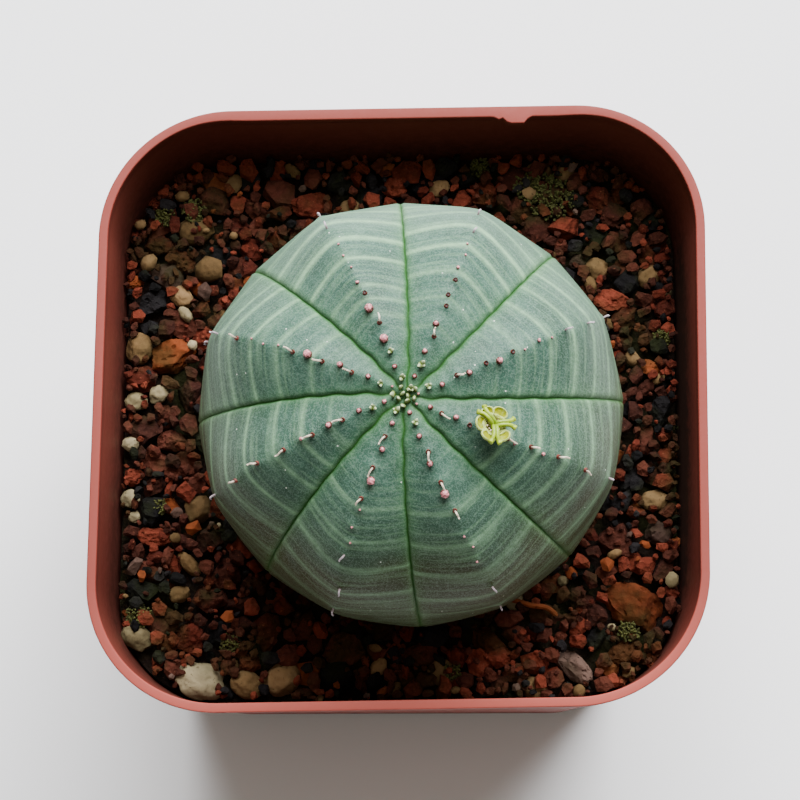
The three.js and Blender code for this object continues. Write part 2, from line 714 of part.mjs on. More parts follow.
const growing = new THREE.Group();
growing.applyMatrix4(plantPlace);
growing.add(makePart("plant", makePlant(), 0x7f9c86, 0.6));
growing.add(makePart("flower", makeFlower(), 0xb9c94a, 0.5));
pottedPlant.add(growing);

export default pottedPlant;
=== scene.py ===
"""Dresses a baseball plant, an eight-ribbed globe of spurge, in a square plastic pot of gritty soil.

Sizes are millimetres and angles degrees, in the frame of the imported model: +Z is up, the origin is at the
middle of the pot's base and -Y is the front. Meshes are built in millimetres and handed over in metres.
"""

from __future__ import annotations

import logging
import math
import random
from dataclasses import dataclass
from enum import Enum
from functools import partial
from typing import Callable, Sequence

import bmesh
import bpy
import numpy as np
from mathutils import Matrix, Vector, noise

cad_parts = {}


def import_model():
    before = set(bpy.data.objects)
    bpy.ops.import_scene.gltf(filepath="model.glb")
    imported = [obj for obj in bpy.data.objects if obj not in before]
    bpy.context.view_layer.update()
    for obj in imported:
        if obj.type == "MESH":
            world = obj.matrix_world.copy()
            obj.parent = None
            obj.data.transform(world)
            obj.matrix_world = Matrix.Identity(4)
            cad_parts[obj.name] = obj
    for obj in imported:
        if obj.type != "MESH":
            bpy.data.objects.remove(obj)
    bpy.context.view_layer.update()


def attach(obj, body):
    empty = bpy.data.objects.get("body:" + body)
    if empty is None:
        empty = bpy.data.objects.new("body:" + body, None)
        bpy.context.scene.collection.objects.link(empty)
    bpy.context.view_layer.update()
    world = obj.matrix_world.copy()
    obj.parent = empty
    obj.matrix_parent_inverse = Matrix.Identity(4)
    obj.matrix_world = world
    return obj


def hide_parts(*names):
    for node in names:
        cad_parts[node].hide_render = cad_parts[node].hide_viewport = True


LOG = logging.getLogger("potted_plant")
BODY = "root"
MM = 0.001
Z_AXIS = Vector((0, 0, 1))
SEED = 9338
GOLDEN_TURN = math.pi * (3 - math.sqrt(5))

Layers = dict[str, np.ndarray]
Paint = dict[str | int, object]
AddNode = Callable[..., bpy.types.Node]
Shape = tuple[np.ndarray, list[list[int]]]


# Small tools


def to_linear(colour: str) -> tuple[float, float, float, float]:
    """Turns an sRGB hex colour such as "#A8503F" into linear red, green, blue and alpha."""
    channels = [int(colour[i : i + 2], 16) / 255 for i in (1, 3, 5)]
    linear = [c / 12.92 if c <= 0.04045 else ((c + 0.055) / 1.055) ** 2.4 for c in channels]
    return (linear[0], linear[1], linear[2], 1.0)


def add_node(
    tree: bpy.types.NodeTree,
    kind: str,
    inputs: Paint | None = None,
    stops: Sequence[tuple[float, str]] = (),
    **settings: object,
) -> bpy.types.Node:
    """Adds one shader node with its settings and links.

    Args:
        tree: the node tree that takes the node.
        kind: the node's type without its ShaderNode prefix.
        inputs: for each input by name or index, a value, a colour, a socket, or a node, which stands
            for its first output in use.
        stops: place and sRGB colour of each stop of a colour ramp.
        settings: the node's own properties.

    Returns:
        The new node.
    """
    node = tree.nodes.new(f"ShaderNode{kind}")
    for name, value in settings.items():
        setattr(node, name, value)
    for name, value in (inputs or {}).items():
        if isinstance(value, bpy.types.Node):
            value = next(socket for socket in value.outputs if socket.enabled)
        if isinstance(value, bpy.types.NodeSocket):
            tree.links.new(value, node.inputs[name])
        else:
            node.inputs[name].default_value = to_linear(value) if isinstance(value, str) else value
    for number, (place, colour) in enumerate(stops):
        ramp = node.color_ramp.elements
        stop = ramp[number] if number < 2 else ramp.new(place)
        stop.position = place
        stop.color = to_linear(colour)
    return node


def per_mm(size: float) -> float:
    """The scale of a texture on object coordinates in metres whose features are this many millimetres."""
    return 1 / (size * MM)


def smoothstep(low: float, high: float, value: float | np.ndarray) -> float | np.ndarray:
    """A smooth rise from 0 at low to 1 at high, or a fall where high lies under low."""
    t = np.clip((value - low) / (high - low), 0, 1)
    return t * t * (3 - 2 * t)


def bell(value: float | np.ndarray, width: float | np.ndarray) -> float | np.ndarray:
    """A smooth bump of height 1 about 0, which is down to about a third this far from it."""
    return np.exp(-((value / width) ** 2))


def around(radius: np.ndarray, angle: np.ndarray, height: np.ndarray) -> np.ndarray:
    """Points at a radius and angle about +Z and at a height."""
    return np.stack([radius * np.cos(angle), radius * np.sin(angle), height], -1)


def scattered(draw: random.Random, reach: float) -> Vector:
    """A random step of up to this much along each axis."""
    return Vector([draw.uniform(-reach, reach) for _ in range(3)])


def turned(angle: float, axis: str | Vector) -> Matrix:
    """The 4x4 matrix of a turn in radians about a named axis or a direction."""
    return Matrix.Rotation(angle, 4, axis)


def facing(*axes: Vector) -> Matrix:
    """The 4x4 matrix that takes +X, +Y and +Z to three directions."""
    return Matrix(axes).transposed().to_4x4()


def new_mesh(layer: str) -> bmesh.types.BMesh:
    """An empty mesh that keeps one named number on each of its points."""
    bm = bmesh.new()
    bm.verts.layers.float.new(layer)
    return bm


def take_shape(bm: bmesh.types.BMesh) -> Shape:
    """The points and faces of a mesh, which is freed."""
    bm.verts.index_update()
    points = np.array([tuple(vert.co) for vert in bm.verts])
    faces = [[vert.index for vert in face.verts] for face in bm.faces]
    bm.free()
    return points, faces


def roll_grid(
    columns: int,
    rows: int,
    place: Callable[[np.ndarray, np.ndarray], np.ndarray],
    layers: Callable[[np.ndarray, np.ndarray], Layers] | None = None,
) -> bmesh.types.BMesh:
    """Rolls a flat grid into a closed skin by a formula, and closes its seam and poles.

    Args:
        columns: faces round the skin.
        rows: faces along it.
        place: gives the points for the two grid coordinates, each from 0 to 1.
        layers: gives named numbers to keep on the points for the same coordinates.

    Returns:
        The skin, with its faces turned outwards.
    """
    bm = bmesh.new()
    bm.loops.layers.uv.new("UVMap")
    bmesh.ops.create_grid(bm, x_segments=columns, y_segments=rows, size=0.5, calc_uvs=True)
    across, along = np.clip(np.array([vert.co.xy for vert in bm.verts]) + 0.5, 0, 1).T
    for name, values in (layers(across, along) if layers else {}).items():
        layer = bm.verts.layers.float.new(name)
        for vert, value in zip(bm.verts, values):
            vert[layer] = float(value)
    for vert, point in zip(bm.verts, place(across, along)):
        vert.co = point
    bmesh.ops.remove_doubles(bm, verts=bm.verts, dist=1e-4)
    bmesh.ops.recalc_face_normals(bm, faces=bm.faces)
    return bm


def sweep(
    bm: bmesh.types.BMesh, path: Sequence[Vector], radii: Sequence[float], sides: int
) -> list[bmesh.types.BMVert]:
    """Draws a round section along a path and closes both ends.

    Args:
        bm: the mesh that takes the swept piece.
        path: the points that the section's middle follows.
        radii: the section's radius at each point.
        sides: sides of the section.

    Returns:
        The vertices of the swept piece.
    """
    ends = [*path, path[-1]]
    ways = [(ends[i + 1] - path[max(i - 1, 0)]).normalized() for i in range(len(path))]
    turn = Z_AXIS.rotation_difference(ways[0])
    made = bmesh.ops.create_circle(bm, cap_ends=False, radius=1, segments=sides)["verts"]
    ring = list(made)
    edges = list({edge for vert in ring for edge in vert.link_edges})
    bmesh.ops.contextual_create(bm, geom=edges)
    settled = Matrix.LocRotScale(path[0], turn, Vector([radii[0]] * 3))
    bmesh.ops.transform(bm, matrix=settled, verts=ring)
    for i in range(1, len(path)):
        turn = ways[i - 1].rotation_difference(ways[i]) @ turn
        moved = Matrix.LocRotScale(path[i], turn, Vector([radii[i]] * 3))
        grown = bmesh.ops.extrude_edge_only(bm, edges=edges)["geom"]
        ring = [item for item in grown if isinstance(item, bmesh.types.BMVert)]
        edges = [item for item in grown if isinstance(item, bmesh.types.BMEdge)]
        bmesh.ops.transform(bm, matrix=moved @ settled.inverted(), verts=ring)
        settled = moved
        made += ring
    bmesh.ops.contextual_create(bm, geom=edges)
    return made


def smooth_path(points: Sequence[Vector], steps: int) -> list[Vector]:
    """A smooth line through a few points, with this many steps from each to the next."""
    line = []
    for i, (start, end) in enumerate(zip(points, points[1:])):
        before = points[max(i - 1, 0)]
        after = points[min(i + 2, len(points) - 1)]
        bend = 2 * before - 5 * start + 4 * end - after
        twist = 3 * start - before - 3 * end + after
        for step in range(steps):
            t = step / steps
            line.append(start + 0.5 * t * ((end - before) + t * bend + t * t * twist))
    return [*line, points[-1]]


def hand_over(
    bm: bmesh.types.BMesh,
    name: str,
    material: bpy.types.Material,
    replaces: Sequence[str] = (),
    sharp: float = 40,
) -> bpy.types.Object:
    """Turns a mesh built in millimetres into a finished piece that rides on the frame.

    Args:
        bm: the mesh, which is freed.
        name: the piece's name.
        material: its finish.
        replaces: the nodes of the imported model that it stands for.
        sharp: edges that bend by more degrees than this are shaded as corners.

    Returns:
        The new object.
    """
    bmesh.ops.scale(bm, vec=(MM, MM, MM), verts=bm.verts)
    bm.normal_update()
    for face in bm.faces:
        face.smooth = True
    for edge in bm.edges:
        edge.smooth = edge.calc_face_angle(0) < math.radians(sharp)
    mesh = bpy.data.meshes.new(name)
    bm.to_mesh(mesh)
    bm.free()
    mesh.materials.append(material)
    piece = bpy.data.objects.new(name, mesh)
    bpy.context.scene.collection.objects.link(piece)
    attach(piece, BODY)
    if replaces:
        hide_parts(*replaces)
    LOG.info("%s: %d faces", name, len(mesh.polygons))
    return piece


# Finishes


class Finish:
    """A material made by nodes. Each kind of finish paints its own tree."""

    name: str

    def make(self) -> bpy.types.Material:
        """Builds the material and gives its surface what the finish paints."""
        material = bpy.data.materials.new(self.name)
        material.use_nodes = True
        material.node_tree.nodes.clear()
        node = partial(add_node, material.node_tree)
        surface = node("BsdfPrincipled", self.paint(node, node("TexCoord").outputs["Object"]))
        node("OutputMaterial", {"Surface": surface})
        return material

    def paint(self, node: AddNode, place: bpy.types.NodeSocket) -> Paint:
        """Adds this finish's pattern.

        Args:
            node: adds a node to the material's tree.
            place: the point on the surface in metres.

        Returns:
            What each input of the principled surface is set to or linked from.
        """
        raise NotImplementedError


@dataclass(frozen=True)
class MouldedPolypropylene(Finish):
    """Injection-moulded polypropylene, dyed terracotta, with a satin gloss and fine scuffs."""

    name = "moulded_polypropylene"
    body: str = "#76382C"
    shade: str = "#6E3127"
    worn: str = "#94584C"
    edge: str = "#7E362C"
    # Paler colour for the front of the rim: a painted highlight where the plant's shadow falls on it.
    faded_edge: str = "#A04A3E"
    # Dark brown that the inner walls turn towards the soil.
    low_wall_tone: str = "#2A170F"
    flow_mm: float = 9.0
    scuff_mm: float = 1.1
    grain_mm: float = 0.5

    def paint(self, node: AddNode, place: bpy.types.NodeSocket) -> Paint:
        """Adds the dye's slight flow, scuffs, the rim's own tone with a painted highlight that makes its
        front paler, and a darkening of the inner walls towards the soil.
        """
        rim, faded, dirt = (
            node("Attribute", attribute_name=name).outputs["Fac"] for name in ("rim", "faded", "dirt")
        )
        flow = node("TexNoise", {"Vector": place, "Scale": per_mm(self.flow_mm), "Detail": 3.0})
        dyed = node("ValToRGB", {"Fac": flow}, stops=[(0.3, self.shade), (0.7, self.body)])
        fine = {"Scale": per_mm(self.scuff_mm), "Detail": 6.0, "Roughness": 0.75}
        scuffs = node("TexNoise", {"Vector": place, **fine})
        scuffed = node("MapRange", {"Value": scuffs, "From Min": 0.6, "From Max": 0.78, "To Max": 0.55})
        # The front of the rim turns paler: painted light.
        front = node("Mix", {0: faded, 6: self.edge, 7: self.faded_edge}, data_type="RGBA")
        patchy = node("Math", {0: dirt, 1: scuffs}, operation="MULTIPLY")
        painted = dyed
        for share, colour in ((scuffed, self.worn), (rim, front), (patchy, self.low_wall_tone)):
            painted = node("Mix", {0: share, 6: painted, 7: colour}, data_type="RGBA")
        satin = {"Value": scuffs, "From Min": 0.35, "From Max": 0.75, "To Min": 0.55, "To Max": 0.68}
        gloss = node("MapRange", satin)
        grain = node("TexNoise", {"Vector": place, "Scale": per_mm(self.grain_mm), "Detail": 2.0})
        bump = node("Bump", {"Strength": 0.12, "Distance": 0.08 * MM, "Height": grain})
        return {"Base Color": painted, "Roughness": gloss, "IOR": 1.3, "Normal": bump}


@dataclass(frozen=True)
class SucculentSkin(Finish):
    """Living skin of a stem succulent, waxy grey-green, with fine pale lines and growth bands."""

    name = "succulent_skin"
    wrinkle_mm: float = 0.3
    mottle_mm: float = 1.3
    cloud_mm: float = 6.0
    streak_mm: float = 0.55
    streaks_per_rib: float = 1.3
    speck_mm: float = 1.1
    # Paler grey of older skin, partly a painted highlight on the lit north side.
    aged: str = "#5C7862"
    # Brown-olive of the lower skin, partly its own browning and partly painted shade on the south side.
    brown_and_shade: str = "#2E3013"
    banded: str = "#789C76"
    crazed: str = "#A5BCAA"
    specked: str = "#C8CCC0"
    fresh: str = "#4C7C3E"
    creased: str = "#214A16"

    def paint(self, node: AddNode, place: bpy.types.NodeSocket) -> Paint:
        """Adds the mottled ground, growth bands, green furrows, crazing, paler older skin that is partly a
        painted highlight on the lit side, and the browned lower side, which is partly painted shade.
        """
        arc, turn, band, age, low, glow, furrow = (
            node("Attribute", attribute_name=name).outputs["Fac"]
            for name in ("arc", "turn", "band", "age", "low", "glow", "furrow")
        )
        cloud = node("TexNoise", {"Vector": place, "Scale": per_mm(self.cloud_mm), "Detail": 4.0})
        fine = {"Scale": per_mm(self.mottle_mm), "Detail": 5.0, "Roughness": 0.7}
        mottle = node("TexNoise", {"Vector": place, **fine})
        blotches = node("Math", {0: cloud, 1: mottle}, operation="MULTIPLY")
        greens = [(0.12, "#2A4437"), (0.26, "#355345"), (0.42, "#466554")]
        ground = node("ValToRGB", {"Fac": blotches}, stops=greens)

        outward = node("Math", {0: arc, 1: 1 / self.streak_mm}, operation="MULTIPLY")
        sideways = node("Math", {0: turn, 1: self.streaks_per_rib}, operation="MULTIPLY")
        on_skin = node("CombineXYZ", {"X": outward, "Y": sideways})
        streaks = node("TexNoise", {"Vector": on_skin, "Scale": 1.0, "Detail": 3.0, "Roughness": 0.65})
        streak = node("MapRange", {"Value": streaks, "From Min": 0.48, "From Max": 0.7, "To Max": 0.34})
        grown = node("MapRange", {"Value": arc, "From Min": 4.0, "From Max": 13.0, "To Min": 0.1})
        fine_lines = node("Math", {0: streak, 1: grown}, operation="MULTIPLY")
        broken = node("MapRange", {"Value": mottle, "From Min": 0.3, "From Max": 0.62, "To Min": 0.55})
        bands = {0: band, 1: broken, 2: fine_lines}
        banding = node("Math", bands, operation="MULTIPLY_ADD", use_clamp=True)

        crease = node("TexNoise", {"Vector": place, "Scale": per_mm(self.wrinkle_mm), "Detail": 2.0})
        crest = node("Math", {0: crease, 1: 0.5}, operation="SUBTRACT")
        height = node("Math", {0: crest}, operation="ABSOLUTE")
        fall = {"From Min": 0.0, "From Max": 0.06, "To Min": 1.0, "To Max": 0.0}
        line = node("MapRange", {"Value": height, **fall})
        faint = node("Math", {0: line, 1: 0.18}, operation="MULTIPLY")
        spread = {"From Min": 0.3, "From Max": 0.65, "To Min": 0.55, "To Max": 1.25}
        patches = node("MapRange", {"Value": cloud, **spread})
        # Browning of the low skin, in patches, with painted shade on the south side.
        browning_and_shade = node("Math", {0: low, 1: patches}, operation="MULTIPLY", use_clamp=True)

        # Small pale specks scattered over the skin.
        motes = node("TexVoronoi", {"Vector": place, "Scale": per_mm(self.speck_mm)})
        mote = node("Math", {0: motes, 1: 0.075}, operation="LESS_THAN")
        lucky = node("SeparateColor", {"Color": motes.outputs["Color"]})
        chosen = node("Math", {0: lucky, 1: 0.16}, operation="LESS_THAN")
        specks = node("Math", {0: mote, 1: chosen}, operation="MULTIPLY")

        painted = ground
        for share, colour in (
            (age, self.aged),
            (browning_and_shade, self.brown_and_shade),
            (banding, self.banded),
            (faint, self.crazed),
            (specks, self.specked),
            (glow, self.fresh),
            (furrow, self.creased),
        ):
            painted = node("Mix", {0: share, 6: painted, 7: colour}, data_type="RGBA")
        bump = node("Bump", {"Strength": 0.7, "Distance": 0.07 * MM, "Height": crease})
        dimples = {"Strength": 0.3, "Distance": 0.12 * MM, "Height": mottle, "Normal": bump}
        return {"Base Color": painted, "Roughness": 0.45, "IOR": 1.22, "Normal": node("Bump", dimples)}


@dataclass(frozen=True)
class CrushedStone(Finish):
    """Crushed or tumbled mineral grit, matt and pitted, each grain in its own tone, with some algae."""

    name: str
    dark: str
    middle: str
    light: str
    fleck: str
    fleck_share: float = 0.62
    grain_mm: float = 0.9
    pit_mm: float = 0.7
    pit_depth: float = 0.8
    algae: str = "#1E2209"
    algae_mm: float = 6.0
    algae_share: float = 0.65

    def paint(self, node: AddNode, place: bpy.types.NodeSocket) -> Paint:
        """Adds each grain's own tone, the stone's grain, its flecks, its pits and the algae."""
        tone = node("Attribute", attribute_name="tone").outputs["Fac"]
        scale, fine_scale = per_mm(self.grain_mm), per_mm(self.grain_mm * 0.45)
        grain = node("TexNoise", {"Vector": place, "Scale": scale, "Detail": 6.0, "Roughness": 0.65})
        mixed = node("Math", {0: tone, 1: 0.62, 2: -0.06}, operation="MULTIPLY_ADD")
        toned = node("Math", {0: grain, 1: 0.55, 2: mixed}, operation="MULTIPLY_ADD")
        tones = [(0.12, self.dark), (0.5, self.middle), (0.86, self.light)]
        ground = node("ValToRGB", {"Fac": toned}, stops=tones)
        speck = node("TexNoise", {"Vector": place, "Scale": fine_scale, "Detail": 3.0, "Roughness": 0.6})
        few = {"From Min": self.fleck_share, "From Max": self.fleck_share + 0.1, "To Max": 0.8}
        flecked = node("MapRange", {"Value": speck, **few})
        film = node("TexNoise", {"Vector": place, "Scale": per_mm(self.algae_mm), "Detail": 4.0})
        patchy = {"From Min": 0.48, "From Max": 0.64, "To Max": self.algae_share}
        greened = node("MapRange", {"Value": film, **patchy})
        painted = ground
        for share, colour in ((flecked, self.fleck), (greened, self.algae)):
            painted = node("Mix", {0: share, 6: painted, 7: colour}, data_type="RGBA")
        pits = node("TexVoronoi", {"Vector": place, "Scale": per_mm(self.pit_mm)})
        rough = node("Math", {0: pits, 1: 0.7, 2: grain}, operation="MULTIPLY_ADD")
        bump = node("Bump", {"Strength": self.pit_depth, "Distance": 0.6 * MM, "Height": rough})
        return {"Base Color": painted, "Roughness": 0.9, "IOR": 1.2, "Normal": bump}


@dataclass(frozen=True)
class PlainFlesh(Finish):
    """Small living or dried plant parts in two tones, with one colour in hollows and one at the tips."""

    name: str
    hollow: str
    tip: str
    grain_mm: float = 0.25
    roughness: float = 0.5
    ior: float = 1.42

    def paint(self, node: AddNode, place: bpy.types.NodeSocket) -> Paint:
        """Adds the change of colour towards the tips and a fine grain."""
        tip = node("Attribute", attribute_name="tip").outputs["Fac"]
        grain = node("TexNoise", {"Vector": place, "Scale": per_mm(self.grain_mm), "Detail": 3.0})
        uneven = {"Value": grain, "From Min": 0.3, "From Max": 0.7, "To Min": -0.25, "To Max": 0.25}
        shifted = node("MapRange", uneven)
        share = node("Math", {0: tip, 1: shifted}, operation="ADD", use_clamp=True)
        painted = node("Mix", {0: share, 6: self.hollow, 7: self.tip}, data_type="RGBA")
        bump = node("Bump", {"Strength": 0.3, "Distance": 0.05 * MM, "Height": grain})
        return {"Base Color": painted, "Roughness": self.roughness, "IOR": self.ior, "Normal": bump}


@dataclass(frozen=True)
class StudioPaper(Finish):
    """Seamless white studio paper: matt, nearly white, with a hint of fibre."""

    name = "studio_paper"
    colour: str = "#F4F4F2"
    fibre_mm: float = 3.0

    def paint(self, node: AddNode, place: bpy.types.NodeSocket) -> Paint:
        """Adds the paper's faint fibre."""
        fibre = node("TexNoise", {"Vector": place, "Scale": per_mm(self.fibre_mm), "Detail": 3.0})
        bump = node("Bump", {"Strength": 0.05, "Distance": 0.1 * MM, "Height": fibre})
        return {"Base Color": self.colour, "Roughness": 0.9, "Normal": bump}


# Pot


@dataclass
class NurseryPot:
    """The square moulded pot: walls with a collar, a soft rim, a dished base and drain holes."""

    width: float = 69.98
    height: float = 65.0
    taper: float = 0.085
    rim_thickness: float = 0.9
    wall: float = 0.65
    collar: float = 6.0
    corner_radius: float = 15.0
    skew: float = 0.0137
    floor: float = 1.6
    edge_round: float = 0.6
    rim_round: float = 0.16
    foot_width: float = 4.0
    foot_round: float = 0.25
    dish: float = 1.0
    pad_radius: float = 7.0
    drain_radius: float = 3.0
    drain_spacing: float = 13.0
    lip: float = 0.17
    lip_height: float = 1.4
    # Flash inside the far rim: from x, to x, the length of its soft ends, depth
    flash: tuple[tuple[float, float, float, float], ...] = (
        (-26.0, 26.0, 9.0, 0.22),
        (10.9, 12.4, 0.8, 0.35),
        (12.0, 15.3, 0.8, 0.8),
    )
    columns: int = 560

    @property
    def corner_reach(self) -> float:
        """How far each corner's centre stands from the middle, both ways and at every height."""
        return self.width / 2 - self.corner_radius

    def inner_half(self, z: float) -> float:
        """Half the width between the inner faces at a height."""
        return self.width / 2 - self.taper * (self.height - z) - self.rim_thickness

    def outline(self, turn: np.ndarray, rows: np.ndarray) -> np.ndarray:
        """Points on a square with round corners.

        Args:
            turn: the direction of each point, from 0 to 1 round the pot.
            rows: for each point the corners' radius, the pull and the height. A pull of 1 gives the full
                square, and a pull of 0 a round ring about the middle.

        Returns:
            The points, pressed slightly out of square towards the rim as the soft pot is.
        """
        radius, pull, z = rows.T
        angle = turn * 2 * math.pi
        beyond = self.width * 0.65
        way = np.stack([np.cos(angle), np.sin(angle)], -1) * beyond
        centre = np.clip(way, -self.corner_reach, self.corner_reach)
        out = way - centre
        out /= np.linalg.norm(out, axis=1, keepdims=True)
        flat = centre * pull[:, None] + out * radius[:, None]
        lean = self.skew * z / self.height
        return np.stack([flat[:, 0] + lean * flat[:, 1], flat[:, 1] + lean * flat[:, 0], z], -1)

    def section(self) -> np.ndarray:
        """The pot's section from the middle of the base, up outside, over the rim and down to the floor.

        Returns:
            Rows of corner radius, pull and height.
        """
        pad, dish, soft, full = self.pad_radius, self.dish, self.foot_round, self.height
        dish_radius = self.inner_half(0) + self.wall - self.foot_width - self.corner_reach
        foot = full - self.collar
        step_out = self.rim_thickness - self.wall
        rows = [(0.0, 0.0, 0.0), (pad - soft, 0.0, 0.0), (pad, 0.0, soft)]
        rows += [(pad, 0.0, dish), (dish_radius * 0.6, 0.5, dish)]
        rows += [(dish_radius, 1.0, dish), (dish_radius, 1.0, soft), (dish_radius + soft, 1.0, 0.0)]

        def beside(z: float, offset: float, rise: float = 0.0) -> None:
            """Adds a point this far outside the inner face at a height, and raises it."""
            rows.append((self.inner_half(z) + offset - self.corner_reach, 1.0, z + rise))

        def arc(z: float, offset: float, radius: float, start: float, end: float, steps: int) -> None:
            """Adds a round stretch about a centre this far outside the inner face."""
            for step in range(steps + 1):
                turn = math.radians(start + (end - start) * step / steps)
                beside(z, offset + radius * math.cos(turn), radius * math.sin(turn))

        arc(self.edge_round, self.wall - self.edge_round, self.edge_round, -90, 0, 5)
        for share in (0.25, 0.5, 0.75):
            beside(self.edge_round + (foot - self.edge_round) * share, self.wall)
        beside(foot - soft, self.wall)
        beside(foot, self.wall + 0.05)
        beside(foot + step_out, self.rim_thickness - 0.03)
        beside(foot + step_out * 2, self.rim_thickness)
        beside(full - 2, self.rim_thickness)
        arc(full - self.rim_round, self.rim_thickness - self.rim_round, self.rim_round, 0, 90, 5)
        arc(full - self.rim_round, self.rim_round - self.lip, self.rim_round, 90, 180, 5)
        beside(full - self.lip_height / 2, -self.lip)
        beside(full - self.lip_height, -0.02)
        for share in (0.04, 0.1, 0.16, 0.22, 0.3, 0.5, 0.75):
            beside(full - (full - self.floor) * share, 0)
        arc(self.floor + self.edge_round, -self.edge_round, self.edge_round, 0, -90, 4)
        rows += [(pad * 1.6, 0.4, self.floor), (0.0, 0.0, self.floor)]
        return np.array(rows)

    def build(self, finish: bpy.types.Material) -> None:
        """Builds the pot from its material and drills it."""
        section = self.section()
        steps = len(section) - 1

        def place(across: np.ndarray, along: np.ndarray) -> np.ndarray:
            """Puts the grid's points on the pot, with the flash of the mould inside its rim."""
            rows = section[np.rint(along * steps).astype(int)]
            points = self.outline(across, rows)
            inner = rows[:, 0] < self.corner_radius - 0.6
            there = inner & (rows[:, 2] > self.height - self.lip_height) & (points[:, 1] > 0)
            x = points[:, 0]
            for start, end, soft, depth in self.flash:
                swell = smoothstep(start, start + soft, x) * smoothstep(end, end - soft, x)
                points[:, 1] -= np.where(there, depth * swell, 0)
            return points

        def layers(across: np.ndarray, along: np.ndarray) -> Layers:
            """Keeps where the inner walls darken towards the soil, most of all on the right, where the rim
            is, and where the rim's front takes a painted highlight.
            """
            z = section[np.rint(along * steps).astype(int), 2]
            angle = across * 2 * math.pi
            inside = along * steps > len(section) * 0.62
            # The inner walls darken towards the soil, and darken further low on the right.
            right_wall_darkening = 1.6 * smoothstep(0.85, 0.99, np.cos(angle)) * smoothstep(60.5, 57, z)
            return {
                "dirt": np.where(inside, 1.3 * smoothstep(62, 54, z) + right_wall_darkening, 0.0),
                "rim": smoothstep(self.height - 0.5, self.height - 0.1, z),
                # Painted highlight along the front of the rim, which lifts the plant's shadow there.
                "faded": smoothstep(-0.4, -0.95, np.sin(angle)),
            }

        bm = roll_grid(self.columns, steps, place, layers)
        self.drill(hand_over(bm, "nursery_pot", finish, ["pot"], sharp=32))

    def drill(self, pot: bpy.types.Object) -> None:
        """Cuts the four drain holes through the floor of the pot, whose mesh is replaced."""
        bm = bmesh.new()
        for x in (-self.drain_spacing, self.drain_spacing):
            for y in (-self.drain_spacing, self.drain_spacing):
                bmesh.ops.create_cone(
                    bm,
                    cap_ends=True,
                    segments=40,
                    radius1=self.drain_radius,
                    radius2=self.drain_radius,
                    depth=self.floor * 4,
                    matrix=Matrix.Translation((x, y, 0)),
                )
        bmesh.ops.scale(bm, vec=(MM, MM, MM), verts=bm.verts)
        drills = bpy.data.meshes.new("drills")
        bm.to_mesh(drills)
        bm.free()
        drill = bpy.data.objects.new("drills", drills)
        bpy.context.scene.collection.objects.link(drill)
        cut = pot.modifiers.new("drain_holes", "BOOLEAN")
        cut.operation = "DIFFERENCE"
        cut.object = drill
        bpy.context.view_layer.update()
        drilled = pot.evaluated_get(bpy.context.evaluated_depsgraph_get())
        mesh = bpy.data.meshes.new_from_object(drilled)
        pot.modifiers.clear()
        pot.data = mesh
        bpy.data.objects.remove(drill)


# Plant


class Item(Enum):
    """What stands on a rib's crest."""

    LEAF = "leaf"
    BUD = "bud"
    BIG_BUD = "big bud"
    SMALL_BUD = "small bud"
    SPECK = "speck"
    STUB = "stub"
    CURL = "stub with a dried stalk"
    STALK = "dried stalk on an old scar"


# Distance from the apex of each item on a crest, for the ribs from east-north-east round by north
CREST_ROWS: tuple[dict[Item, tuple[float, ...]], ...] = (
    {
        Item.LEAF: (2.7,),
        Item.BUD: (4.0, 7.0, 10.4),
        Item.SMALL_BUD: (1.4, 15.3),
        Item.SPECK: (13.4, 16.9),
        Item.STUB: (9.0, 12.1),
        Item.CURL: (5.7,),
        Item.STALK: (19.0, 22.9, 29.0),
    },
    {
        Item.LEAF: (1.0, 3.7),
        Item.BUD: (2.3, 5.0, 8.1),
        Item.SMALL_BUD: (14.8,),
        Item.SPECK: (16.7, 18.2),
        Item.STUB: (10.3, 11.5, 13.4),
        Item.CURL: (6.8,),
        Item.STALK: (20.3, 24.5),
    },
    {
        Item.LEAF: (2.0, 4.9),
        Item.BUD: (3.3,),
        Item.BIG_BUD: (6.3, 9.9),
        Item.SMALL_BUD: (13.1,),
        Item.SPECK: (15.1, 16.9, 18.7),
        Item.STUB: (11.7,),
        Item.CURL: (8.1,),
        Item.STALK: (22.3, 30.0),
    },
    {
        Item.LEAF: (3.0,),
        Item.BUD: (4.4, 7.5),
        Item.BIG_BUD: (11.1,),
        Item.SMALL_BUD: (1.8,),
        Item.SPECK: (14.6, 16.4, 18.1),
        Item.CURL: (6.1, 9.4, 12.8, 20.3),
        Item.STALK: (24.5, 33.0),
    },
    {
        Item.LEAF: (3.7,),
        Item.BUD: (2.4, 5.1, 8.5),
        Item.SMALL_BUD: (11.7,),
        Item.CURL: (7.0, 10.5, 14.0, 17.5, 21.3),
        Item.STALK: (27.0,),
    },
    {
        Item.LEAF: (2.0,),
        Item.BUD: (3.3, 6.1),
        Item.BIG_BUD: (9.5,),
        Item.SPECK: (12.7, 14.8, 16.5),
        Item.CURL: (4.8, 8.2, 11.6),
        Item.STALK: (18.2, 23.0, 28.0),
    },
    {
        Item.LEAF: (3.1,),
        Item.BUD: (1.9, 4.5, 7.5),
        Item.BIG_BUD: (10.9,),
        Item.SPECK: (16.0, 17.5, 19.4),
        Item.CURL: (6.3, 9.7, 13.0),
        Item.STALK: (24.0, 30.0),
    },
    {
        Item.BUD: (2.9, 5.7),
        Item.SMALL_BUD: (1.5, 12.3, 15.7),
        Item.STUB: (7.3,),
        Item.CURL: (4.2, 11.5, 14.2, 17.6, 21.8),
        Item.STALK: (27.3,),
    },
)

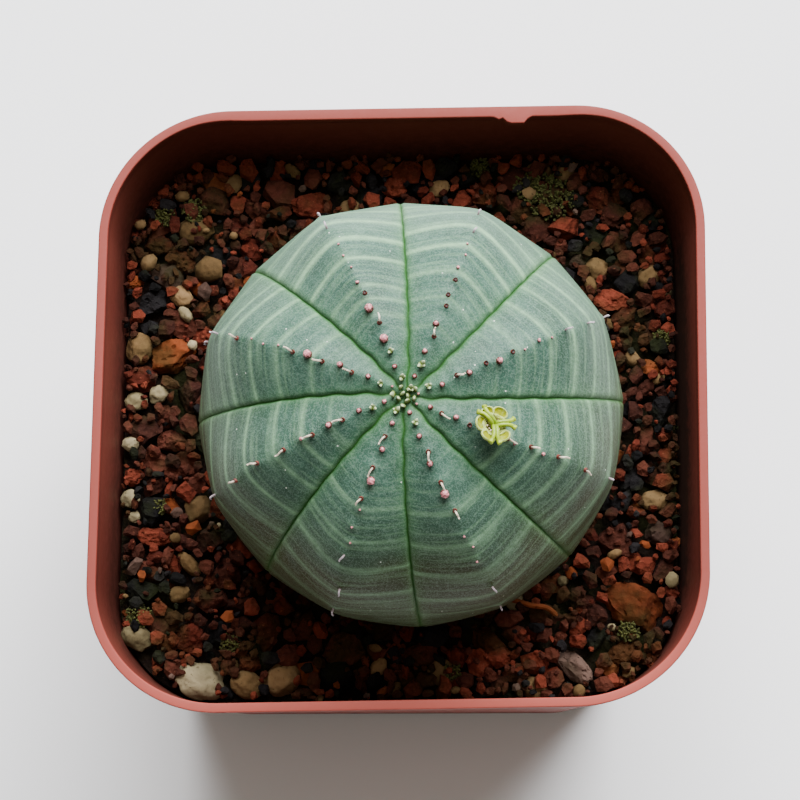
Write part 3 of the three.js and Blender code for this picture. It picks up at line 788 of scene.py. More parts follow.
# Growth bands across each rib by their distance from the apex and strength, for the same ribs
GROWTH_BANDS: tuple[tuple[tuple[float, float], ...], ...] = (
    ((13.0, 0.35), (16.8, 0.6), (20.3, 0.7), (24.0, 0.7), (27.6, 0.6), (31.2, 0.5)),
    ((8.2, 0.3), (11.4, 0.35), (14.6, 0.6), (18.2, 0.85), (21.8, 1.0), (25.4, 0.6), (29.0, 0.5)),
    (
        (9.3, 0.3),
        (11.2, 0.45),
        (12.8, 0.45),
        (16.5, 0.7),
        (19.9, 0.9),
        (23.8, 0.95),
        (27.4, 0.6),
        (31.0, 0.5),
    ),
    ((10.8, 0.4), (14.8, 0.6), (18.3, 0.7), (21.8, 0.8), (23.8, 0.6), (27.6, 0.6), (31.2, 0.5)),
    ((8.6, 0.3), (11.8, 0.5), (15.2, 0.7), (19.4, 0.8), (23.0, 0.8), (27.4, 0.7), (31.0, 0.5)),
    ((12.7, 0.5), (16.5, 0.6), (17.3, 0.3), (20.0, 0.8), (24.0, 0.8), (27.8, 0.6), (31.5, 0.5)),
    ((13.3, 0.5), (17.3, 0.7), (21.3, 0.8), (25.7, 0.8), (29.4, 0.6), (33.0, 0.5)),
    ((11.8, 0.5), (15.2, 0.7), (18.8, 0.8), (22.9, 0.8), (27.3, 0.7), (31.0, 0.5)),
)


@dataclass
class RibbedGlobe:
    """The plant's body: eight broad ribs between sharp furrows, wound slightly about a leaning axis.

    A place on the skin is given by its distance over the skin from the apex and by its direction in ribs,
    with whole numbers in the furrows and the crests halfway between them.
    """

    equator_radius: float = 23.7
    dome_height: float = 20.0
    roundness: float = 2.2
    centre: tuple[float, float, float] = (1.2, -2.6, 70.0)
    lean_east: float = -1.8
    lean_north: float = -6.2
    first_furrow: float = 0.6
    ribs: int = 8
    rib_height: float = 0.95
    rib_sharpness: float = 0.55
    rib_rise: float = 1.2
    ribs_gone_at: float = 86.0
    flatness: float = 0.5
    flat_side: float = 315.0
    flat_side_share: float = 0.35
    spiral: float = 3.3
    spiral_level: float = 17.0
    dimple: float = 0.7
    dimple_radius: float = 3.0
    groove_depth: float = 0.32
    groove_width: float = 0.2
    groove_share_below: float = 0.35
    groove_grown_at: float = 5.0
    # Heights between which the grooves grow shallow, and between which they and the flat flanks end
    groove_fade: tuple[float, float] = (-2.0, 8.0)
    soil_fade: tuple[float, float] = (-20.0, -8.0)
    crest_softness: float = 0.1
    crest_softness_at_tip: float = 0.55
    crest_softness_reach: float = 5.0
    waver: float = 0.16
    waver_reach: float = 9.0
    waver_turns: float = 1.9
    tubercle_height: float = 0.22
    tubercle_radius: float = 0.6
    band_bend: float = 0.9
    band_bend_reach: float = 2.5
    band_width: float = 0.16
    band_width_gain: float = 0.2
    band_tail: float = 1.3
    band_tail_share: float = 0.22
    columns_per_rib: int = 28
    column_pull: float = 0.82
    # The side view under the equator and down the root: radius, height
    lower_side: tuple[tuple[float, float], ...] = (
        (22.9, 7.0),
        (23.7, 0.0),
        (22.9, -7.0),
        (19.8, -14.0),
        (12.5, -20.5),
        (6.5, -27.0),
        (3.4, -36.0),
        (1.6, -45.0),
        (0.0, -47.0),
    )
    # How far under the equator the rows of the root begin, measured over the skin
    root_from: float = 19.0
    rows_to_equator: int = 180
    rows_to_soil: int = 44
    rows_of_root: int = 18

    def __post_init__(self) -> None:
        """Measures the smooth side view once, as distances over the skin from the apex."""
        polar = np.linspace(0, math.pi / 2, 600)
        power = 2 / self.roundness
        radius = self.equator_radius * np.sin(polar) ** power
        sunk = self.dimple * bell(radius, self.dimple_radius)
        height = self.dome_height * np.maximum(np.cos(polar), 0) ** power - sunk
        steps = 40
        lower = smooth_path([Vector((r, z, 0)) for r, z in self.lower_side], steps)[steps + 1 :]
        self.side = np.array([*zip(radius, height), *((p.x, p.y) for p in lower)])
        lengths = np.linalg.norm(np.diff(self.side, axis=0), axis=1)
        self.reach = np.concatenate([[0], np.cumsum(lengths)])
        self.polars = np.concatenate([polar, np.full(len(lower), math.pi / 2)])
        self.equator = float(self.reach[len(polar) - 1])
        tilts = (math.tan(math.radians(lean)) for lean in (self.lean_east, self.lean_north))
        leant = Z_AXIS.rotation_difference(Vector((*tilts, 1)).normalized()).to_matrix().to_4x4()
        spun = turned(math.radians(self.first_furrow), "Z")
        self.stand = Matrix.Translation(self.centre) @ leant @ spun
        self.knobs = np.empty((0, 3))

    def to_pot(self, points: np.ndarray) -> np.ndarray:
        """Moves points from the plant's own frame to the pot's."""
        matrix = np.array(self.stand)
        return points @ matrix[:3, :3].T + matrix[:3, 3]

    def side_at(self, distance: np.ndarray) -> tuple[np.ndarray, np.ndarray, np.ndarray]:
        """Radius, height and polar angle of the smooth side view at distances from the apex."""
        rows = (self.side[:, 0], self.side[:, 1], self.polars)
        radius, height, polar = (np.interp(distance, self.reach, row) for row in rows)
        return radius, height, polar

    def turn_of(self, rib: float | np.ndarray) -> float | np.ndarray:
        """The angle in radians of a direction in ribs."""
        return rib * 2 * math.pi / self.ribs

    def phase(self, rib: np.ndarray) -> np.ndarray:
        """How far a direction is from the nearest crest: 0 on a crest and 1 in a furrow."""
        turn = rib - 0.5
        return np.abs(turn - np.round(turn)) * 2

    def furrow_distance(self, distance: np.ndarray, rib: np.ndarray) -> np.ndarray:
        """Millimetres over the skin from each place to the nearest furrow."""
        return (1 - self.phase(rib)) * self.side_at(distance)[0] * math.pi / self.ribs

    def bent(self, distance: np.ndarray, rib: np.ndarray) -> np.ndarray:
        """Distance from the apex as the growth bands run, which bend back beside a furrow."""
        furrow = self.furrow_distance(distance, rib)
        return distance + self.band_bend * np.exp(-furrow / self.band_bend_reach)

    def surface(self, distance: np.ndarray, rib: np.ndarray) -> np.ndarray:
        """Points of the skin, in the plant's frame.

        Args:
            distance: distances from the apex.
            rib: directions in ribs.

        Returns:
            The points, with ribs, flat flanks, furrows and tubercles.
        """
        radius, height, polar = self.side_at(distance)
        step = 0.15
        before = self.side_at(np.maximum(distance - step, 0))
        after = self.side_at(distance + step)
        slope = np.stack([after[0] - before[0], after[1] - before[1]], -1)
        slope /= np.maximum(np.linalg.norm(slope, axis=1, keepdims=True), 1e-9)
        run, rise = slope.T

        phase = self.phase(rib)
        softness = self.crest_softness_at_tip * np.exp(-distance / self.crest_softness_reach)
        softness += self.crest_softness
        soft = (np.hypot(phase, softness) - softness) / (np.hypot(1, softness) - softness)
        wave = (1 - self.rib_sharpness) * np.cos(math.pi * phase) + self.rib_sharpness * (1 - 2 * soft)
        grown = np.clip(polar / math.radians(self.ribs_gone_at), 0, 1)
        lift = self.rib_height * np.sin(math.pi * grown**self.rib_rise) * wave
        from_flat_side = self.turn_of(rib) - math.radians(self.flat_side)
        lift *= 1 - self.flat_side_share * np.maximum(np.cos(from_flat_side), 0)

        above_soil = smoothstep(*self.soil_fade, height)
        below = self.groove_share_below
        shallow = np.minimum(1, distance / self.groove_grown_at)
        shallow *= below + (1 - below) * smoothstep(*self.groove_fade, height)
        furrow = self.furrow_distance(distance, rib)
        lift -= self.groove_depth * shallow * above_soil * bell(furrow, self.groove_width)

        facet = math.pi / self.ribs
        shrink = math.cos(facet / 2) / np.cos(np.abs(soft - 0.5) * facet)
        shrink = 1 + (shrink - 1) * self.flatness * above_soil
        flank = np.maximum(radius * shrink - rise * lift, 0)
        top = height + run * lift
        level = np.maximum(np.hypot(flank, self.dome_height - top), 1) / self.spiral_level
        angle = self.turn_of(rib) + math.radians(self.spiral) * np.log(level)
        waver = self.waver * np.exp(-distance / self.waver_reach) * smoothstep(0.5, 2.5, distance)
        swing = np.sin(self.waver_turns * distance + 2.3 * np.round(rib))
        angle += waver * swing * phase / np.maximum(radius, 1)
        points = around(flank, angle, top)
        for knob in self.knobs:
            away = np.linalg.norm(points - knob, axis=1)
            bump = self.tubercle_height * bell(away, self.tubercle_radius)
            points += around(bump * -rise, angle, bump * run)
        return points

    def crest_place(self, rib: int, distance: float, sideways: float = 0.0) -> Matrix:
        """The frame of a place on a crest.

        Args:
            rib: which rib.
            distance: distance from the apex.
            sideways: distance to the left of the crest, looking outward.

        Returns:
            The matrix that takes +X outward, +Y across and +Z up from the skin, in the pot's frame.
        """
        radius = float(self.side_at(np.array([distance]))[0][0])
        across = sideways * self.ribs / (2 * math.pi * max(radius, 0.5))
        step = 0.2
        along = np.array([distance, distance + step, max(distance - step, 0), distance, distance])
        turn = np.array([0.0, 0.0, 0.0, 0.02, -0.02]) + rib + 0.5 + across
        middle, out, back, left, right = (Vector(p) for p in self.to_pot(self.surface(along, turn)))
        outward = (out - back).normalized()
        normal = outward.cross((left - right).normalized()).normalized()
        return Matrix.Translation(middle) @ facing(outward, normal.cross(outward), normal)

    def bands(self, distance: np.ndarray, rib: np.ndarray) -> np.ndarray:
        """Strength of the growth bands, from 0 to 1, each with a faint tail behind it."""
        bent = self.bent(distance, rib)
        which = np.clip(np.floor(rib), 0, self.ribs - 1).astype(int)
        total = np.zeros(len(distance))
        draw = random.Random(SEED)
        for number, rows in enumerate(GROWTH_BANDS):
            here = which == number
            for middle, strength in rows:
                width = self.band_width + self.band_width_gain * strength * draw.uniform(0.7, 1.2)
                past = bent[here] - middle
                tail = self.band_tail_share * smoothstep(self.band_tail, 0.0, past) * (past > 0)
                total[here] += strength * (bell(past, width) + tail)
        return np.clip(total, 0, 1)

    def build(self, finish: bpy.types.Material) -> None:
        """Builds the skin from its material, in one closed mesh down to the tip of the root."""
        marks = [0, self.equator, self.equator + self.root_from, float(self.reach[-1])]
        counts = np.cumsum([0, self.rows_to_equator, self.rows_to_soil, self.rows_of_root])
        rows = int(counts[-1])

        def read(across: np.ndarray, along: np.ndarray) -> tuple[np.ndarray, np.ndarray]:
            """Distance from the apex and direction in ribs, with columns drawn to furrows and crests."""
            turn = across * self.ribs
            pulled = turn - self.column_pull * np.sin(4 * math.pi * turn) / (4 * math.pi)
            return np.interp(along * rows, counts, marks), pulled

        def place(across: np.ndarray, along: np.ndarray) -> np.ndarray:
            """Puts the grid's points on the skin."""
            points = self.surface(*read(across, along))
            ends = (along < 0.5 / rows) | (along > 1 - 0.5 / rows)
            points[ends, :2] = 0
            return self.to_pot(points)

        def layers(across: np.ndarray, along: np.ndarray) -> Layers:
            """Keeps what the skin's colours follow."""
            distance, rib = read(across, along)
            furrow = self.furrow_distance(distance, rib)
            height = self.side_at(distance)[1]
            south = 0.5 - 0.5 * np.sin(self.turn_of(rib))
            shown = smoothstep(3.0, 9.0, distance) * smoothstep(-12.0, 8.0, height)
            weak = 1 - 0.55 * south * smoothstep(20.0, 12.0, height)
            beside = 0.42 * np.exp(-furrow / 0.5) * smoothstep(-8.0, 10.0, height)
            underside = 0.96 * smoothstep(11.0, -5.0, height + 15 * (0.45 - south))
            return {
                "band": self.bands(distance, rib) * shown * weak,
                "arc": self.bent(distance, rib),
                "turn": rib,
                "furrow": bell(furrow, 0.12) * smoothstep(-10.0, 6.0, height),
                "glow": beside + 0.08 * smoothstep(7.0, 2.0, distance),
                # Paler older skin, stronger on the lit north side, where it is partly a painted highlight.
                "age": 0.55 * smoothstep(17.0, 30.0, distance) * (1 - 0.75 * south),
                # Brown-olive lower skin, heaviest on the south side: partly the skin's own browning, partly
                # painted shade.
                "low": underside + 0.8 * south * smoothstep(20.5, 9.0, height),
            }

        bm = roll_grid(self.columns_per_rib * self.ribs, rows, place, layers)
        hand_over(bm, "ribbed_body", finish, ["plant"], sharp=60)


@dataclass
class CrestItems:
    """The buds, dried flower stalks, leaves and scars that stand in line along every crest.

    A place is the matrix that takes +X outward, +Y across and +Z up from the skin.
    """

    globe: RibbedGlobe
    zigzag: tuple[float, float] = (0.05, 0.2)
    bud_radii: tuple[float, float] = (0.31, 0.37)
    big_bud_radius: float = 0.48
    small_bud_radius: float = 0.23
    speck_radius: float = 0.15
    fine_bud_over: float = 0.35
    bud_depth: float = 0.24
    bud_bracts: float = 1.6
    bud_squash: float = 0.92
    bud_lift: float = 0.62
    young_share: float = 0.65
    full_grown_at: float = 9.0
    stub_radius: float = 0.21
    # Shares of a stub's radius: its foot, its height, the width of its margin and its hollow's depth
    stub_shape: tuple[float, float, float, float] = (1.5, 1.8, 0.4, 0.5)
    stub_under_bud: float = 1.35
    stub_under_big_bud: float = 1.6
    stub_roughness: float = 0.12
    curl_radius: float = 0.11
    curl_length: tuple[float, float] = (0.75, 1.15)
    old_stalk_share: float = 0.8
    leaf_length: float = 0.8
    leaf_shape: tuple[float, float, float] = (0.26, 0.42, 0.6)
    leaf_rise: float = 0.35
    leaf_narrowing: float = 0.45
    leaves_together: int = 3
    tip_leaves: int = 10
    tip_radius: float = 1.3

    def __post_init__(self) -> None:
        """Starts the random numbers and an empty mesh for each finish."""
        self.draw = random.Random(SEED + 1)
        pieces = ("buds", "stubs", "dried_stalks", "old_stalks", "leaves")
        self.meshes = {name: new_mesh("tip") for name in pieces}

    def places(self) -> list[tuple[Matrix, Item, float]]:
        """Every place with what stands on it and how far grown it is, from 0 at the apex to 1."""
        draw = random.Random(SEED)
        found = []
        for rib, row in enumerate(CREST_ROWS):
            marks = [(distance, item) for item, distances in row.items() for distance in distances]
            for number, (distance, item) in enumerate(sorted(marks, key=lambda mark: mark[0])):
                side = draw.uniform(*self.zigzag) * (1 if number % 2 else -1)
                grown = min(distance / self.full_grown_at, 1)
                found.append((self.globe.crest_place(rib, distance, side), item, grown))
        return found

    def raise_tubercles(self) -> None:
        """Tells the globe where its crests swell under an item."""
        inverse = self.globe.stand.inverted()
        self.globe.knobs = np.array([tuple(inverse @ place.translation) for place, *_ in self.places()])

    def build(self, finishes: dict[str, bpy.types.Material]) -> None:
        """Builds all items from the materials by name, joined in one piece for each."""
        for place, item, grown in self.places():
            size = self.young_share + (1 - self.young_share) * grown
            match item:
                case Item.LEAF:
                    for number in range(self.leaves_together):
                        length = self.leaf_length * self.draw.uniform(0.75, 1.1)
                        self.leaf(place, length, number * GOLDEN_TURN, 0.5)
                    self.scar(place)
                case Item.BUD:
                    self.bud(place, self.draw.uniform(*self.bud_radii) * size)
                    self.scar(place, self.stub_under_bud * size)
                case Item.BIG_BUD:
                    self.bud(place, self.big_bud_radius)
                    self.scar(place, self.stub_under_big_bud)
                case Item.SMALL_BUD:
                    self.bud(place, self.small_bud_radius * size)
                case Item.SPECK:
                    self.bud(place, self.speck_radius)
                case Item.STUB:
                    self.scar(place)
                case Item.CURL:
                    self.scar(place)
                    self.stalk("dried_stalks", place)
                case Item.STALK:
                    self.stalk("old_stalks", place, self.old_stalk_share)
        self.tip()
        for name, bm in self.meshes.items():
            hand_over(bm, name, finishes[name], sharp=70)

    def bud(self, place: Matrix, radius: float) -> None:
        """Adds one bud of a given radius, a globe of small folded bracts."""
        bm = self.meshes["buds"]
        tip = bm.verts.layers.float["tip"]
        detail = 3 if radius > self.fine_bud_over else 2
        made = bmesh.ops.create_icosphere(bm, subdivisions=detail, radius=1)["verts"]
        offset = scattered(self.draw, 9)
        for vert in made:
            way = vert.co.normalized()
            near, next_near = noise.voronoi(way * self.bud_bracts + offset)[0][:2]
            fold = min((next_near - near) / 0.4, 1)
            vert.co = way * (1 - self.bud_depth * (1 - fold))
            # The crowns of the bracts and the bud's top take the pale tip colour, a painted highlight on
            # the top; the dark colour sunk in the folds is partly painted shade.
            vert[tip] = min(max(0.75 * fold + 0.4 * way.z, 0), 1)
        squashed = Matrix.Diagonal((radius, radius, radius * self.bud_squash, 1))
        lifted = Matrix.Translation((0, 0, radius * self.bud_lift))
        bmesh.ops.transform(bm, matrix=place @ lifted @ squashed, verts=made)

    def scar(self, place: Matrix, share: float = 1.0) -> None:
        """Adds the round stub that a flower stalk leaves, with its dark sunken middle.

        Args:
            place: where it stands.
            share: its size as a share of a plain stub's.
        """
        radius = self.stub_radius * share
        foot, height, margin, hollow = (radius * size for size in self.stub_shape)
        bm = self.meshes["stubs"]
        tip = bm.verts.layers.float["tip"]
        others = len(bm.verts)
        made = bmesh.ops.create_cone(
            bm, cap_ends=True, segments=10, radius1=foot, radius2=radius, depth=height
        )["verts"]
        faces = {face for vert in made for face in vert.link_faces}
        top = max(faces, key=lambda face: face.calc_center_median().z)
        bmesh.ops.inset_individual(bm, faces=[top], thickness=margin)
        bmesh.ops.translate(bm, vec=(0, 0, -hollow), verts=top.verts)
        piece = list(bm.verts)[others:]
        for vert in piece:
            vert[tip] = 0.0 if vert in top.verts else self.draw.uniform(0.35, 1)
            vert.co += scattered(self.draw, self.stub_roughness) * radius
        bmesh.ops.transform(bm, matrix=place, verts=piece)

    def stalk(self, name: str, place: Matrix, size: float = 1.0) -> None:
        """Adds one dried flower stalk, a pale thread that curls outward over the skin.

        Args:
            name: the piece that takes it.
            place: where it stands.
            size: its share of a fresh one's length.
        """
        bm = self.meshes[name]
        tip = bm.verts.layers.float["tip"]
        length = self.draw.uniform(*self.curl_length) * size
        lean = self.draw.uniform(-0.35, 0.35) * length
        rise = self.draw.uniform(0.35, 0.6)
        bends = [
            (0, 0, -0.1),
            (length * 0.12, lean * 0.2, rise * 0.8),
            (length * 0.45, lean * 0.8, rise),
            (length * 0.8, lean * 1.1, rise * 0.75),
            (length, lean, rise * self.draw.uniform(0.5, 1.3)),
        ]
        path = smooth_path([place @ Vector(bend) for bend in bends], 2)
        radii = [self.curl_radius * (1.15 - 0.35 * i / (len(path) - 1)) for i in range(len(path))]
        for vert in sweep(bm, path, radii, 5):
            vert[tip] = min(1, (vert.co - place.translation).length / 0.6)

    def leaf(self, place: Matrix, length: float, turn: float, lean: float) -> None:
        """Adds one small pointed leaf.

        Args:
            place: where it stands.
            length: its length.
            turn: the direction in which it leans, in radians from outward.
            lean: how far it leans, in radians.
        """
        bm = self.meshes["leaves"]
        tip = bm.verts.layers.float["tip"]
        made = bmesh.ops.create_uvsphere(bm, u_segments=8, v_segments=6, radius=1)["verts"]
        curve = self.draw.uniform(0.15, 0.35)
        thick, wide, tall = self.leaf_shape
        for vert in made:
            x, y, z = vert.co
            narrow = 1 - self.leaf_narrowing * max(z, 0)
            vert[tip] = max(z, 0) ** 1.5
            bent = x * thick * narrow + curve * z * z * 0.5
            vert.co = Vector((bent, y * wide * narrow, z * tall + self.leaf_rise))
        leant = turned(turn + self.draw.uniform(-0.4, 0.4), "Z") @ turned(lean, "Y")
        bmesh.ops.transform(bm, matrix=place @ leant @ Matrix.Scale(length, 4), verts=made)

    def tip(self) -> None:
        """Adds the crowded young leaves that fill the dimple at the apex."""
        stand = self.globe.stand
        apex = stand @ Vector((0, 0, self.globe.dome_height))
        for number in range(self.tip_leaves):
            distance = self.tip_radius * math.sqrt((number + 0.5) / self.tip_leaves)
            spun = turned(number * GOLDEN_TURN, stand.to_3x3() @ Z_AXIS)
            about = Matrix.Translation(apex) @ spun @ Matrix.Translation(-apex)
            place = about @ self.globe.crest_place(0, max(distance, 0.25))
            self.leaf(place, self.draw.uniform(0.75, 1.0), 0, 0.8 * distance / self.tip_radius - 0.3)


@dataclass
class Cyathium:
    """The one open flower: a cup on a short stalk, with five glands and three forked styles."""

    globe: RibbedGlobe
    rib: int = 7
    distance: float = 9.4
    axis: tuple[float, float, float] = (0.27, 0.17, 0.95)
    stalk_radius: float = 0.42
    stalk_height: float = 0.8
    stalk_foot: float = -0.45
    cup_radius: float = 1.25
    cup_height: float = 1.3
    throat_depth: float = 0.7
    gland_turns: tuple[float, ...] = (53.0, 171.0, 228.0, 285.0, 348.0)
    gland_size: tuple[float, float, float] = (0.64, 0.88, 0.34)
    gland_reach: float = 1.5
    gland_tilt: float = 0.28
    style_turns: tuple[float, ...] = (14.0, 112.0, 241.0)
    style_radius: float = 0.25
    style_reach: float = 2.2
    style_fork: float = 0.52
    # The bends of a style: share of its reach, share of its fork, height over the cup's rim
    style_bends: tuple[tuple[float, float, float], ...] = (
        (0.1, 0.32, 0.1),
        (0.38, 0.34, 0.42),
        (0.68, 0.42, 0.4),
        (0.88, 0.75, 0.28),
        (1.0, 1.1, 0.3),
    )
    stamens: int = 14
    stamen_radii: tuple[float, ...] = (0.06, 0.08, 0.13, 0.05)

    def __post_init__(self) -> None:
        """Starts the random numbers."""
        self.draw = random.Random(SEED + 2)

    @property
    def rim(self) -> float:
        """Height of the cup's rim over the foot of the flower."""
        return self.stalk_height + self.cup_height

    def stand(self) -> Matrix:
        """The matrix that stands the flower, built on +Z, in its place."""
        place = self.globe.crest_place(self.rib, self.distance)
        axis = Vector(self.axis).normalized()
        side = place.col[0].xyz.cross(axis).normalized()
        return Matrix.Translation(place.translation) @ facing(side, axis.cross(side), axis)

    def cup(self) -> bmesh.types.BMesh:
        """Builds the stalk and the cup, with a lobed lip and a hollow throat."""
        stalk, cup, base = self.stalk_radius, self.cup_radius, self.stalk_height
        outside = ((0.68, 0.16), (0.9, 0.5), (1.0, 0.9))
        inside = ((1.03, 0), (0.95, 0.08), (0.82, -0.02), (0.66, -0.35), (0.5, -self.throat_depth))
        rows = [(0.0, self.stalk_foot), (stalk, self.stalk_foot)]
        rows += [(stalk * 0.95, 0.2), (stalk * 1.05, base)]
        rows += [(cup * share, base + rise) for share, rise in outside]
        rows += [(cup * share, self.rim + rise) for share, rise in inside]
        section = np.array([*rows, (0.0, self.rim - self.throat_depth)])
        steps = len(section) - 1

        def place(across: np.ndarray, along: np.ndarray) -> np.ndarray:
            """Puts the grid's points on the cup."""
            radius, height = section[np.rint(along * steps).astype(int)].T
            angle = across * 2 * math.pi
            lobes = 1 + 0.05 * np.cos(5 * angle) * (height > base)
            lip = 0.06 * np.cos(10 * angle) * (height > self.rim - 0.1)
            return around(radius * lobes, angle, height + lip)

        def layers(across: np.ndarray, along: np.ndarray) -> Layers:
            """Keeps how pale the cup is, which is palest at its lip."""
            height = section[np.rint(along * steps).astype(int), 1]
            return {"tip": np.clip((height - base) / self.cup_height, 0, 1) * 0.7}

        return roll_grid(40, steps, place, layers)

    def gland(self, bm: bmesh.types.BMesh, turn: float) -> None:
        """Adds one gland, a fleshy pad with a raised pale margin, at a direction in degrees."""
        tip = bm.verts.layers.float["tip"]
        made = bmesh.ops.create_uvsphere(bm, u_segments=20, v_segments=12, radius=1)["verts"]
        for vert in made:
            far = math.hypot(vert.co.x, vert.co.y)
            margin = smoothstep(0.7, 0.95, far)
            if vert.co.z > 0:
                vert.co.z = 0.25 + 0.45 * bell(far - 0.85, 0.16) - 0.15 * (1 - margin)
            vert[tip] = margin if vert.co.z > 0 else 0.8
        on_rim = Matrix.Translation((self.gland_reach, 0, self.rim - 0.02))
        placed = turned(math.radians(turn), "Z") @ on_rim @ turned(-self.gland_tilt, "Y")
        bmesh.ops.transform(bm, matrix=placed @ Matrix.Diagonal((*self.gland_size, 1)), verts=made)

    def style(self, bm: bmesh.types.BMesh, turn: float) -> None:
        """Adds one forked style at a direction in degrees, with two arms that curl back at their tips."""
        tip = bm.verts.layers.float["tip"]
        spun = turned(math.radians(turn), "Z")
        for side in (-1, 1):
            fork = self.style_fork * side
            bends = [(0.05, fork * 0.1, self.rim - 0.6)]
            for out, apart, up in self.style_bends:
                bends.append((self.style_reach * out, fork * apart, self.rim + up))
            path = smooth_path([spun @ Vector(bend) for bend in bends], 4)
            last = len(path) - 1
            swell = [0.9 + 0.35 * smoothstep(0.7, 0.95, i / last) for i in range(last)]
            for vert in sweep(bm, path, [self.style_radius * share for share in (*swell, 0.75)], 8):
                vert[tip] = 0.25 + 0.6 * min(math.hypot(vert.co.x, vert.co.y) / self.style_reach, 1)

    def stamen(self, bm: bmesh.types.BMesh, number: int) -> None:
        """Adds one short stamen in the cup, at a place in the spiral that they fill."""
        draw = self.draw
        turn = number * GOLDEN_TURN
        reach = self.cup_radius * 0.6 * math.sqrt((number + 0.5) / self.stamens)
        foot = Vector((reach * math.cos(turn), reach * math.sin(turn), self.stalk_height + 0.55))
        head = foot + Vector((draw.uniform(-0.1, 0.1), draw.uniform(-0.1, 0.1), draw.uniform(0.4, 0.85)))
        path = [foot, foot.lerp(head, 0.6), head, head + Vector((0, 0, 0.12))]
        for vert in sweep(bm, path, self.stamen_radii, 6):
            vert[bm.verts.layers.float["tip"]] = draw.uniform(0.3, 1)

    def build(self, finishes: dict[str, bpy.types.Material]) -> None:
        """Builds the flower from the materials by name, in one piece for each."""
        cup, styles, bits = self.cup(), new_mesh("tip"), new_mesh("tip")
        for turn in self.gland_turns:
            self.gland(cup, turn)
        for turn in self.style_turns:
            self.style(styles, turn)
        for number in range(self.stamens):
            self.stamen(bits, number)
        stand = self.stand()
        for name, bm in {"flower_cup": cup, "flower_styles": styles, "flower_bits": bits}.items():
            bmesh.ops.transform(bm, matrix=stand, verts=bm.verts)
            replaces = ["flower"] if bm is cup else []
            hand_over(bm, name, finishes[name], replaces, sharp=75)


# Soil


class Grit(Enum):
    """Kinds of grain in the soil, named as their pieces and finishes are."""

    RED = "red_lava"
    DARK_RED = "dark_red_lava"
    ORANGE = "orange_clay"
    TAN = "tan_pumice"
    CREAM = "cream_pumice"
    GREY = "grey_stone"
    BLUE = "blue_black_stone"

    @property
    def tumbled(self) -> bool:
        """Whether its grains are worn round."""
        return self in (Grit.TAN, Grit.CREAM)

    @property
    def dark(self) -> bool:
        """Whether it is as common among the fine grains as among the coarse ones."""
        return self in (Grit.DARK_RED, Grit.RED, Grit.BLUE)


# Tufts of moss: x, y, radius
MOSS_TUFTS: tuple[tuple[float, float, float], ...] = (
    (18.2, 27.6, 3.0),
    (15.5, 28.8, 1.8),
    (9.7, 31.2, 1.2),
    (-30.4, -22.9, 1.4),
    (-19.9, -26.2, 1.1),
    (-28.3, -10.2, 0.9),
    (30.9, 9.9, 1.1),
    (26.4, -25.0, 1.2),
    (6.0, -29.5, 1.0),
    (-28.2, 25.2, 1.2),
    (-24.5, 26.0, 1.5),
)

